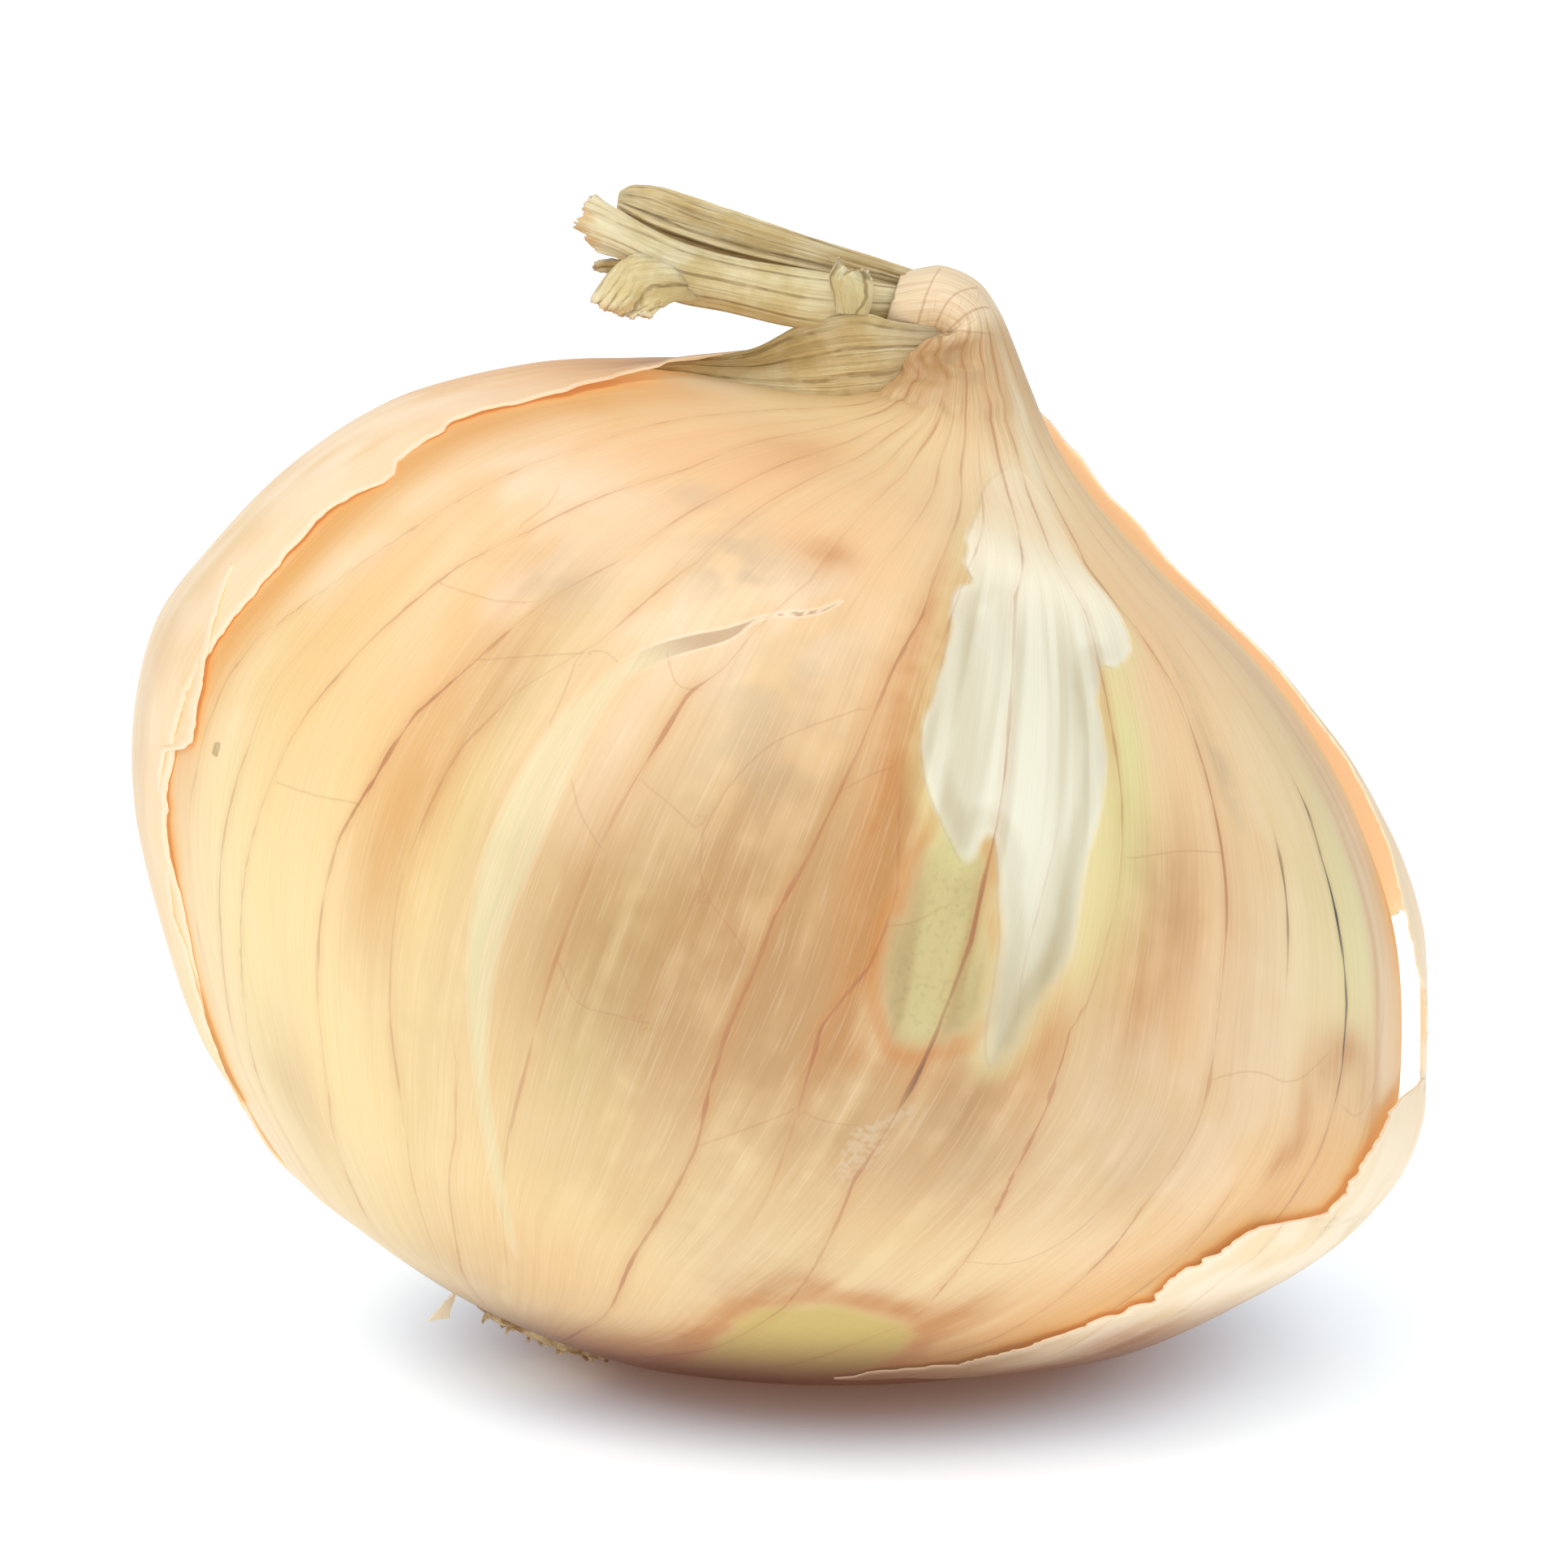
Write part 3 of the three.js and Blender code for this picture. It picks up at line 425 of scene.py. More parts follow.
def lineDistance(azimuth, station, points, closed, reach=9):    # mm to a line of points, and on which side of it
    starts, ends = segments(points, closed)
    low, high = points.min(0) - (reach, 1), points.max(0) + (reach, 1)
    near = (azimuth > low[0]) & (azimuth < high[0]) & (station > low[1]) & (station < high[1])
    spot = np.nonzero(near)[0]
    away, left = np.full((2, len(azimuth)), farAway)
    if len(spot) == 0:
        return away, left
    here = roundPoint(azimuth[spot], station[spot])
    a, b = roundPoint(*starts.T), roundPoint(*ends.T)
    best, side = away[spot], left[spot]
    for i in range(len(a)):
        along = b[i] - a[i]
        t = np.clip(((here - a[i]) @ along) / (along @ along + 1e-12), 0, 1)
        gap = np.linalg.norm(here - (a[i] + t[:, None] * along), axis=-1)
        closer = gap < best
        best = np.where(closer, gap, best)
        turn = (ends[i, 0] - starts[i, 0]) * (station[spot] - starts[i, 1])
        turn -= (ends[i, 1] - starts[i, 1]) * (azimuth[spot] - starts[i, 0])
        side = np.where(closer, np.where(turn > 0, gap, -gap), side)
    away[spot], left[spot] = best, side
    return away, left


def inside(azimuth, station, points):
    found = np.zeros(len(azimuth), bool)
    for (a, s), (b, t) in zip(points, np.roll(points, -1, axis=0)):
        crosses = (s > station) != (t > station)
        with np.errstate(divide="ignore", invalid="ignore"):
            found ^= crosses & (azimuth < (b - a) * (station - s) / (t - s) + a)
    return found


def outlineField(azimuth, station, outline):    # mm from the outline, negative inside it
    points = rounded(outline, True)
    away = lineDistance(azimuth, station, points, True)[0]
    return np.where(inside(azimuth, station, points), -away, away)


def crossFields(azimuth, station, lines):
    nearest, side = np.full((2, len(azimuth)), farAway)
    for line in lines:
        away, left = lineDistance(azimuth, station, rounded(line, False), False, reach=5)
        closer = away < nearest
        nearest, side = np.where(closer, away, nearest), np.where(closer, left, side)
    return nearest, side


def stainAndShadeField(azimuth, station, spots):
    clear = np.ones(len(azimuth))
    for atAzimuth, atStation, wide, tall, strength in spots:
        d = ((azimuth - atAzimuth) / wide) ** 2 + ((station - atStation) / tall) ** 2
        clear *= 1 - strength * np.exp(-0.7 * d)
    return 1 - clear


# Helpers for pieces

def vertices(piece):
    flat = np.empty(len(piece.data.vertices) * 3)
    piece.data.vertices.foreach_get("co", flat)
    return flat.reshape(-1, 3)


def gridPiece(name, across, along):    # a grid, and each vertex's share of the way across and along it
    bpy.ops.mesh.primitive_grid_add(x_subdivisions=across, y_subdivisions=along, size=1)
    piece = bpy.context.object
    piece.name = piece.data.name = name
    share = vertices(piece) + 0.5
    return piece, share[:, 0], share[:, 1]


def moveTo(piece, points):
    piece.data.vertices.foreach_set("co", (points * millimetre).ravel())
    piece.data.update()


def keep(piece, name, values):    # a number at each vertex, or three, or one number for all of them
    values = np.asarray(values, np.float32)
    if values.ndim == 0:
        values = np.full(len(piece.data.vertices), values)
    kind, field = ("FLOAT", "value") if values.ndim == 1 else ("FLOAT_VECTOR", "vector")
    layer = piece.data.attributes.get(name) or piece.data.attributes.new(name, kind, "POINT")
    layer.data.foreach_set(field, values.ravel())


def keepMap(piece, name, u, v):    # a number pair at each corner, which may jump at a seam
    layer = piece.data.uv_layers.new(name=name)
    corner = np.empty(len(piece.data.loops), np.int32)
    piece.data.loops.foreach_get("vertex_index", corner)
    layer.data.foreach_set("uv", np.stack([u[corner], v[corner]], -1).astype(np.float32).ravel())


def keepSkinFields(piece, azimuth, station, stainsAndShade):
    count, gap, strength = veinFields(azimuth, station)
    a = np.radians(azimuth)
    keep(piece, "meridian", np.stack([np.sin(a), np.cos(a), station / lastRing], -1))
    keep(piece, "veinStrength", strength)
    keepMap(piece, "veinCount", count, gap)
    for name, spots in stainsAndShade.items():
        keep(piece, name, stainAndShadeField(azimuth, station, spots))


def inEditMode(piece, work, chosen=None):    # on the chosen vertices, or on all of them
    bpy.context.view_layer.objects.active = piece
    piece.select_set(True)
    bpy.ops.object.mode_set(mode="EDIT")
    bpy.ops.mesh.select_mode(type="VERT")
    bpy.ops.mesh.select_all(action="SELECT" if chosen is None else "DESELECT")
    if chosen is not None:
        bpy.ops.object.mode_set(mode="OBJECT")
        piece.data.vertices.foreach_set("select", chosen)
        bpy.ops.object.mode_set(mode="EDIT")
    work()
    bpy.ops.object.mode_set(mode="OBJECT")
    piece.select_set(False)


def weld(piece):
    inEditMode(piece, lambda: bpy.ops.mesh.remove_doubles(threshold=weldDistance))


def thicken(piece, thickness):    # gives a sheet its second face, and marks that face as the inner one
    before = len(piece.data.vertices)
    sheet = piece.modifiers.new("thickness", "SOLIDIFY")
    sheet.thickness, sheet.offset, sheet.use_rim = thickness * millimetre, -1, True
    bpy.context.view_layer.objects.active = piece
    bpy.ops.object.modifier_apply(modifier=sheet.name)
    keep(piece, "inner", np.arange(len(piece.data.vertices)) >= before)
    return piece


def dress(piece, node, material):
    bpy.context.view_layer.objects.active = piece
    piece.select_set(True)
    bpy.ops.object.shade_smooth()
    piece.select_set(False)
    piece.data.materials.clear()
    piece.data.materials.append(material)
    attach(piece, "root")
    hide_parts(node)


# Shader maths: a socket that can be added, multiplied and so on

class Reading:
    def __init__(self, paint, socket):
        self.paint, self.socket = paint, socket

    def maths(self, operation, *values):
        return self.paint.node("ShaderNodeMath", {"operation": operation}, list(values))

    def __add__(self, other):
        return self.maths("ADD", self, other)

    def __sub__(self, other):
        return self.maths("SUBTRACT", self, other)

    def __rsub__(self, other):
        return self.maths("SUBTRACT", other, self)

    def __mul__(self, other):
        return self.maths("MULTIPLY", self, other)

    def __truediv__(self, other):
        return self.maths("DIVIDE", self, other)

    def __abs__(self):
        return self.maths("ABSOLUTE", self)

    __radd__, __rmul__ = __add__, __mul__


class Paint:
    def __init__(self, name):
        self.material = bpy.data.materials.new(name)
        self.material.use_nodes = True
        self.tree = self.material.node_tree
        self.shader = self.tree.nodes["Principled BSDF"]

    def node(self, kind, settings, inputs, output=0):
        made = self.tree.nodes.new(kind)
        for name, value in settings.items():
            setattr(made, name, value)
        self.plug(made, dict(inputs if isinstance(inputs, dict) else enumerate(inputs)))
        return Reading(self, made.outputs[output])

    def plug(self, node, inputs):    # links a reading, and sets anything else as it is
        for name, value in inputs.items():
            if isinstance(value, Reading):
                self.tree.links.new(value.socket, node.inputs[name])
            else:
                node.inputs[name].default_value = value

    def number(self, name, output="Fac"):
        return self.node("ShaderNodeAttribute", {"attribute_name": name}, {}, output)

    def place(self):
        return self.node("ShaderNodeTexCoord", {}, {}, output="Object")

    def split(self, vector):
        apart = self.node("ShaderNodeSeparateXYZ", {}, [vector])
        outputs = apart.socket.node.outputs
        return [Reading(self, outputs[i]) for i in range(3)]

    def noise(self, vector, scale=1.0, detail=3.0, roughness=0.55):
        inputs = {"Vector": vector, "Scale": scale, "Detail": detail, "Roughness": roughness}
        return self.node("ShaderNodeTexNoise", {}, inputs)

    def drawn(self, vector, stretch, detail, roughness=0.55):    # noise drawn out along a surface's own ways
        drawnOut = self.node("ShaderNodeVectorMath", {"operation": "MULTIPLY"}, {0: vector, 1: stretch})
        return self.noise(drawnOut, 1.0, detail, roughness)

    def ramp(self, value, low, high):    # 0 below low, 1 above high, eased between
        inputs = {"Value": value, "From Min": low, "From Max": high, "To Min": 0.0, "To Max": 1.0}
        return self.node("ShaderNodeMapRange", {"interpolation_type": "SMOOTHSTEP"}, inputs)

    def fade(self, value, low, high):    # the other way round
        return 1.0 - self.ramp(value, low, high)

    def mix(self, a, b, factor, blend="MIX"):
        settings = {"data_type": "RGBA", "blend_type": blend, "clamp_factor": True}
        return self.node("ShaderNodeMix", settings, {"Factor": factor, 6: a, 7: b}, output=2)

    def coats(self, colour, look, **amounts):    # the look's colours by name, each laid over the last by its amount
        for name, amount in amounts.items():
            colour = self.mix(colour, look[name], amount)
        return colour

    def glow(self, colour, amount):    # painted light: emission that stands for light coming through a thin sheet
        self.plug(self.shader, {"Emission Color": self.mix((0, 0, 0, 1), colour, amount)})

    def finish(self, colour, roughness, height, **fixed):
        bump = self.node("ShaderNodeBump", {}, {"Strength": 1.0, "Distance": 0.001, "Height": height})
        self.plug(self.shader, {"Base Color": colour, "Roughness": roughness, "Normal": bump, **fixed})
        return self.material


def rgb(red, green, blue):    # a colour as a picture gives it, made linear
    shares = (red / 255, green / 255, blue / 255)
    linear = [c / 12.92 if c <= 0.04045 else ((c + 0.055) / 1.055) ** 2.4 for c in shares]
    return (*linear, 1.0)


skinLook = {
    "straw": rgb(234, 205, 142), "peach": rgb(238, 190, 138), "orange": rgb(192, 126, 60), "gold": rgb(222, 160, 84),
    "green": rgb(220, 214, 150), "brown": rgb(176, 134, 84), "grey": rgb(190, 170, 142), "pale": rgb(245, 224, 196),
    "tan": rgb(176, 134, 84), "cream": rgb(232, 204, 156), "neck": rgb(198, 164, 120), "collar": rgb(246, 226, 190),
    "flesh": rgb(230, 227, 206), "fleshTop": rgb(255, 246, 220), "fleshShade": rgb(182, 168, 132),
    "white": rgb(232, 222, 192), "oliveFlesh": rgb(177, 154, 104), "yellowFlesh": rgb(198, 171, 88),
    "streak": rgb(210, 220, 176), "veinBrown": rgb(166, 98, 60), "ink": rgb(52, 50, 44), "inner": rgb(236, 214, 180),
    # under: the colour of the painted shade near the table
    "under": rgb(142, 94, 50), "fibreShade": rgb(226, 206, 176), "bruise": rgb(172, 140, 106),
    "speckle": rgb(126, 112, 72), "scuff": rgb(208, 188, 160), "knot": rgb(150, 116, 62),
}

# From where to where the stains, and the painted shade among them, break up in the streaks
stainAndShadeBreaks = {"tan": (.2, .55), "green": (.25, .6), "gold": (.1, .45), "orange": (.3, .6), "brown": (.36, .62)}


def skinPaint(name, tight):
    paint, look = Paint(name), skinLook
    number, ramp, fade, mix = paint.number, paint.ramp, paint.fade, paint.mix
    meridian, place = number("meridian", "Vector"), paint.place()
    station = paint.split(meridian)[2] * float(lastRing)
    blotch = paint.drawn(meridian, (9.0, 9.0, 26.0), 1.0, 0.62)
    streaks = paint.drawn(meridian, (22.0, 22.0, 6.0), 1.0)
    fibres = paint.drawn(meridian, (150.0, 150.0, 12.0), 1.0, 0.6)
    fine = paint.drawn(meridian, (380.0, 380.0, 40.0), 0.0, 0.5)
    grain, speckled = paint.noise(place, 2600.0, 0.0), paint.noise(place, 240.0, 2.0, 0.62)
    ragged = (paint.noise(place, 420.0, 1.0, 0.6) - 0.5) * 1.1
    onNeck, onCollar = ramp(station, 16.4, 18.0), ramp(station, 19.3, 20.3)

    colour = paint.coats(
        look["cream"], look,
        straw=number("straw") * 0.9 + (blotch - 0.5) * 0.6,
        peach=number("peach") + (streaks - 0.5) * 0.7,
        pale=number("pale") * ramp(blotch, 0.3, 0.62),
    )
    for patch, breaks in stainAndShadeBreaks.items():
        broken = 0.35 + 0.65 * ramp(streaks * 0.6 + speckled * 0.4, *breaks)
        colour = mix(colour, look[patch], number(patch) * broken)
    colour = paint.coats(
        colour, look,
        grey=number("grey") * ramp(speckled, 0.38, 0.62) * 0.7,
        neck=onNeck * (0.4 + 0.45 * ramp(fibres, 0.35, 0.65)),
        collar=onCollar * (0.9 - 0.3 * ramp(fibres, 0.45, 0.65)),
        white=number("white") * (0.6 + 0.4 * ramp(fibres, 0.4, 0.6)),
    )
    shade = ramp(fibres, 0.44, 0.72) * (0.12 + 0.4 * onNeck - 0.34 * onCollar)
    colour = mix(colour, look["fibreShade"], shade, "MULTIPLY")
    colour = mix(colour, look["pale"], ramp(fine, 0.56, 0.78) * 0.12)
    if tight:
        colour = layBare(paint, colour, ragged, grain, streaks)

    count, gap = paint.split(paint.node("ShaderNodeUVMap", {"uv_map": "veinCount"}, {}))[:2]
    whole = paint.node("ShaderNodeMath", {"operation": "FLOOR"}, [count + 0.5])
    straightAway = abs(count - whole) * gap
    wobble = (paint.drawn(meridian, (18.0, 18.0, 90.0), 0.0) - 0.5) * 0.25
    away = abs(straightAway + wobble * ramp(gap, 0.5, 6.0))
    strength = number("veinStrength") * (0.45 + 0.75 * ramp(paint.noise(meridian, 22.0, 0.0), 0.3, 0.7))
    width = 0.045 + strength * 0.055 + number("ink") * 0.05
    line = fade(away / width, 0.6, 1.8) * strength * (1.0 - 0.9 * onCollar)
    colour = mix(colour, look["orange"], fade(away, 0.1, 0.9) * strength * 0.22)
    lineColour = mix(look["veinBrown"], look["ink"], number("ink") * 1.1)
    colour = mix(colour, lineColour, line * (0.62 + 0.5 * number("ink")))
    height = (fibres - 0.5) * 0.03 + (grain - 0.5) * 0.003
    height = height + fade(straightAway, 0.04, 0.2) * number("veinStrength") * 0.025

    if tight:
        colour = crossAndSplit(paint, colour, ragged, fine, station, onCollar)
        height = height - fade(number("window"), -0.25, 0.05) * 0.06
    else:
        within = number("inner")
        rim = fade(number("edgeAway") + ragged, 0.15, 1.3)
        colour = paint.coats(colour, look, inner=within * 0.9, pale=rim * 0.6)
        # Painted light: the inner face glows, and the pale stains a little, as if lit through the thin sheet
        paint.glow(colour, within + number("pale") * 0.2)
    # Painted shade: the skin darkens towards the table, fully below 3 mm and fading out by 10.5 mm, except where it is
    # white
    tableShade = fade(paint.split(place)[2], 0.003, 0.0105)
    colour = mix(colour, look["under"], tableShade * (1.0 - number("white")), "MULTIPLY")
    fixed = {"Emission Strength": 0.0 if tight else 0.5, "Specular IOR Level": 0.42}
    fixed.update({"Coat Weight": 0.12, "Coat Roughness": 0.28})
    return paint.finish(colour, 0.40 + 0.16 * blotch, height, **fixed)


def layBare(paint, colour, ragged, grain, streaks):    # what shows where the outer layers are torn off
    look, number, ramp, fade = skinLook, paint.number, paint.ramp, paint.fade
    station = paint.split(number("meridian", "Vector"))[2] * float(lastRing)
    belowTop, low = fade(station, 13.8, 15.8), fade(station, 9.2, 11.2)
    olive, foot = number("olive") + ragged * 1.5, number("yellowFoot") + ragged * 1.6
    window, scuff = number("window") + ragged * 0.7, number("scuff") + ragged * 1.6
    oliveFlesh = paint.mix(look["oliveFlesh"], look["green"], ramp(streaks, 0.4, 0.6) * 0.4)
    colour = paint.mix(colour, look["orange"], fade(abs(olive - 0.35), 0.1, 1.1) * 0.55)
    colour = paint.mix(colour, oliveFlesh, fade(olive, -1.3, 0.5) * 0.95)
    colour = paint.coats(
        colour, look,
        speckle=ramp(grain, 0.55, 0.72) * fade(olive, -2.2, 0.4) * 0.14,
        orange=fade(abs(foot - 0.7), 0.1, 1.9) * 0.55,
        yellowFlesh=fade(foot, -1.2, 0.7) * 0.9,
        green=fade(window, 0.1, 1.8) * 0.26 * belowTop,
    )
    # Painted shade on the bare flesh, in streaks, lower down and in a band inside the window's edge; painted light
    # makes it lighter towards the top
    shaded = ramp(streaks, 0.45, 0.7) * 0.45 + low * 0.55 + fade(abs(window + 1.2), 0.2, 1.2) * 0.25
    flesh = paint.coats(look["flesh"], look, fleshShade=shaded, fleshTop=ramp(station, 12.6, 14.4) * 0.85)
    laidBare = fade(window, -0.5 - low * 0.7, 0.15 + low * 0.5)
    colour = paint.mix(colour, flesh, laidBare * (0.14 + 0.81 * belowTop))
    scuffed, knot = fade(scuff, -0.4, 0.1) * ramp(grain, 0.3, 0.6), fade(abs(number("knot")), 0.02, 0.16)
    return paint.coats(colour, look, scuff=scuffed * 0.4, knot=knot * 0.6)


def crossAndSplit(paint, colour, ragged, fine, station, onCollar):    # the small veins, and the long split
    look, number, ramp, fade = skinLook, paint.number, paint.ramp, paint.fade
    crossLine = fade(abs(number("crossSide") + ragged * 0.1), 0.03, 0.12) * fade(number("crossAway"), 0.15, 0.9)
    colour = paint.mix(colour, look["veinBrown"], crossLine * (0.2 + 0.16 * onCollar))
    split = number("split") + ragged * 0.12
    bruised = ramp(station, 10.9, 11.5)    # it is open above, and only a pale streak below
    opened = fade(split + (1.0 - bruised) * 0.2, -0.3 + bruised * 0.2, 0.02 + (1.0 - bruised) * 0.4)
    # Where the split is open its inside is greyish brown; its lips are pale, partly the torn edge's own colour and
    # partly a painted highlight
    under = paint.coats(look["streak"], look, pale=ramp(fine, 0.4, 0.6) * 0.5, bruise=bruised)
    colour = paint.mix(colour, under, opened * (0.34 + 0.3 * bruised))
    return paint.mix(colour, look["pale"], fade(abs(split), 0.04, 0.16) * (0.08 + 0.4 * bruised))


# The bulb in its tight skin, with the neck and the folded collar

bulbDetail = {
    "around": 412, "up": 236,
    "frontCrowding": 0.35,
    "measures": 481, "closerFrom": 15.5,    # how finely the way up is measured, and the station where rows are closer
    "lipShare": 0.035,    # of the rows, for the inside of the collar's mouth
    "lipDepth": 1.6,    # stations
    "rag": 0.16,
    # depths in mm
    "veinGroove": (0.02, 0.075),    # on the bulb and on the neck
    "dents": 0.16,
    "crumple": 0.62,
    "collarStep": 0.22,
    "split": 0.1,
    "scuff": 0.04,
}


def bulbStations(climb):    # even steps in mm up the bulb, closer rows on the neck
    stations = np.linspace(0, lastRing, bulbDetail["measures"])
    spots = roundPoint(0 * stations, stations)
    steps = np.linalg.norm(np.diff(spots, axis=0), axis=-1) + 0.005
    steps *= np.where(stations[1:] > bulbDetail["closerFrom"], 2.0, 1.0)
    distance = np.concatenate([[0], np.cumsum(steps)])
    return np.interp(climb, distance / distance[-1], stations)


def bulbRelief(azimuth, station):
    detail = bulbDetail
    count, gap, strength = veinFields(azimuth, station)
    onNeck = eased(station, 15.2, 18)
    low, high = detail["veinGroove"]
    groove = (low + (high - low) * onNeck) * (1 - 0.9 * eased(station, 19.5, 20.5))
    width = 0.22 + 0.3 * (1 - onNeck)
    relief = -groove * np.exp(-(veinAway(count, gap) / width) ** 2) * (0.15 + 0.85 * strength)
    spot = roundPoint(azimuth, station)
    dents = noise3(spot / 11, 3) - 0.9    # all inward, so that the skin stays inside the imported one
    relief += detail["dents"] * dents * eased(station, 1, 4) * (1 - eased(station, 14, 16.5))
    fold = eased(station, 17.0, 17.6) * (1 - eased(station, 20.2, 21.4)) * hump(azimuth, -165, 75)
    creases = 1 - 2.2 * np.abs(noise2(azimuth / 34, station * 1.5, 11))
    small = noise2(azimuth / 9, station * 3.6, 12, 2)
    relief += detail["crumple"] * fold * (np.clip(creases, -0.6, 1) * 0.8 - 0.4 + 0.35 * small)
    wander = 17.42 + 0.22 * noise1(azimuth / 13, 21) + 0.1 * noise1(azimuth / 4, 22)
    foldLine = detail["collarStep"] * hump(azimuth, -120, 70)
    relief += foldLine * eased(station, wander - 0.03, wander + 0.06)
    relief -= foldLine * 0.8 * np.exp(-((station - wander) / 0.09) ** 2)
    split, scuff = (outlineField(azimuth, station, marks[name]) for name in ("split", "scuff"))
    relief -= detail["split"] * (1 - eased(split, -0.5, 0.2)) * eased(station, 10.6, 11.4)
    relief += detail["scuff"] * (1 - eased(scuff, -0.6, 0.2)) * (1 + noise3(spot / 0.8, 31))
    return relief


def makeBulb():
    detail = bulbDetail
    bulb, across, climb = gridPiece("tightSkin", detail["around"], detail["up"])
    turn, crowding, lipShare = 2 * across - 1, detail["frontCrowding"], detail["lipShare"]
    azimuth = 180 * ((1 - crowding) * turn + crowding * turn ** 3)
    lip = np.clip((climb - (1 - lipShare)) / lipShare, 0, 1)
    station = bulbStations(np.minimum(climb / (1 - lipShare), 1))
    rag = np.maximum(detail["rag"] * roughly(azimuth / 26, 41), 0)
    station = station - rag * eased(station, 22.6, 24) - detail["lipDepth"] * lip
    surface = roundPoint(azimuth, station)
    points = surface + outward(azimuth, station) * bulbRelief(azimuth, station)[:, None]
    middle = surface * 0.5 + roundPoint(azimuth + 180, station) * 0.5
    shrink = np.where(lip > 0, 1 - 0.12 * eased(lip, 0, 0.25) - 0.88 * eased(lip, 0.3, 1), 1)
    points = middle + (points - middle) * shrink[:, None]
    points[:, 2] = np.maximum(points[:, 2], 0)
    moveTo(bulb, points)
    keepSkinFields(bulb, azimuth, station, tightStainsAndShade)
    for name, outline in marks.items():
        keep(bulb, name, outlineField(azimuth, station, outline))
    away, side = crossFields(azimuth, station, crossVeins)
    keep(bulb, "crossAway", away)
    keep(bulb, "crossSide", side)
    weld(bulb)
    return bulb


# The loose outer skin, a thin sheet from a torn edge at the right, round the back, to a torn edge at the left

looseDetail = {
    "columns": 158, "rows": 300,
    "thickness": 0.16,
    "ragged": (1.2, 0.5),    # degrees, at the right edge and at the left
    "span": (190, 100),    # mm across and along, about, for the distance to the edge
    "standOff": 1.7,    # mm, of the flap at the right
    "bridge": (0.7, 2.6),    # mm, over the shoulder, and how much more at the back
    "least": (-46, -45.6, 0.2), "most": (37.45, 39.8, 75.5),    # mm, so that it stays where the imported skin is
    "rightEdge": [
        (3.4, 44), (4.44, 44.5), (4.97, 50), (5.63, 49.5), (6.45, 53), (6.79, 54.8), (7.09, 53), (7.69, 53.8),
        (8.06, 55.5), (8.2, 60), (8.35, 66.5), (8.53, 67.4), (8.91, 67.7), (9.22, 69), (9.5, 72), (9.66, 77),
        (9.75, 84), (10.3, 84), (10.6, 83), (10.73, 82), (11.02, 81), (11.4, 82.5), (11.8, 87), (13, 90), (14, 95),
        (15, 97), (17, 104), (19, 120),
    ],
    "leftEdge": [
        (2, 262), (2.5, 268), (3.5, 272), (4.5, 281), (5.5, 287), (6.35, 290.8), (7.07, 290.2), (7.83, 289.8),
        (8.39, 290.6), (8.85, 291.3), (9.21, 292), (9.71, 291.8), (10.41, 292), (11.07, 291.6), (11.4, 294),
        (11.55, 294.2), (11.62, 292), (12.11, 291.2), (12.18, 290), (12.67, 290.3), (13.2, 291), (13.7, 287),
        (14.2, 282.5), (14.35, 276), (14.7, 262), (15.1, 253), (15.35, 250), (15.8, 256), (16.4, 263), (17, 272),
        (18.4, 285),
    ],
    "foot": [(0, 4.0), (.06, 4.9), (.12, 5.5), (.3, 5.8), (.5, 4.8), (.7, 2.7), (.85, 2.3), (1, 2.5)],
    "top": [(0, 16.6), (.25, 17.6), (.6, 18.5), (1, 18.5)],
    "hole": [
        (96, 8.6), (104, 8.2), (111, 8.5), (115, 9.2), (115, 10), (112, 10.7), (104, 10.9), (98, 10.7), (96, 10),
    ],
    "holeScale": (0.75, 6.5),    # mm to a degree and to a station there
    "holeGrip": 0.35,    # mm, how near a vertex has to be to move onto the hole's edge
}


def edgeTable(position, table):
    return np.interp(position, [row[0] for row in table], [row[1] for row in table])


def looseLift(azimuth, station, share):
    detail = looseDetail
    leftCurl = 0.35 * eased(share, 0.95, 1) * hump(station, 11.5, 16)
    rightCurl = 0.15 * (1 - eased(share, 0, 0.06))
    standOff = detail["standOff"] * hump(azimuth, 66, 132) * hump(station, 5.5, 14.5)
    low, more = detail["bridge"]
    bridge = (low + more * eased(azimuth, 120, 235)) * hump(station, 13.6, 19.4)
    lift = 0.55 - 0.35 * eased(share, 0.8, 1) - 0.2 * (1 - eased(share, 0, 0.15))
    lift = lift + leftCurl + rightCurl + standOff + bridge
    ripple = 0.12 * noise2(azimuth / 14, station * 1.1, 51)
    return 0.14 + (lift + ripple - 0.14) * eased(station, 3.2, 6.2)


def edgeWaves(azimuth, station, share):    # the free edges ripple a little, as dry skin does, and the flap wrinkles
    wrinkles = 0.13 * hump(azimuth, 30, 135) * hump(station, 3.4, 10.5) * noise2(azimuth / 2.6, station * 0.7, 63)
    left, right = eased(share, 0.9, 1), 1 - eased(share, 0, 0.1)
    return 0.22 * left * noise1(station * 2.3, 61) + 0.25 * right * noise1(station * 1.9 + 7, 62) + wrinkles


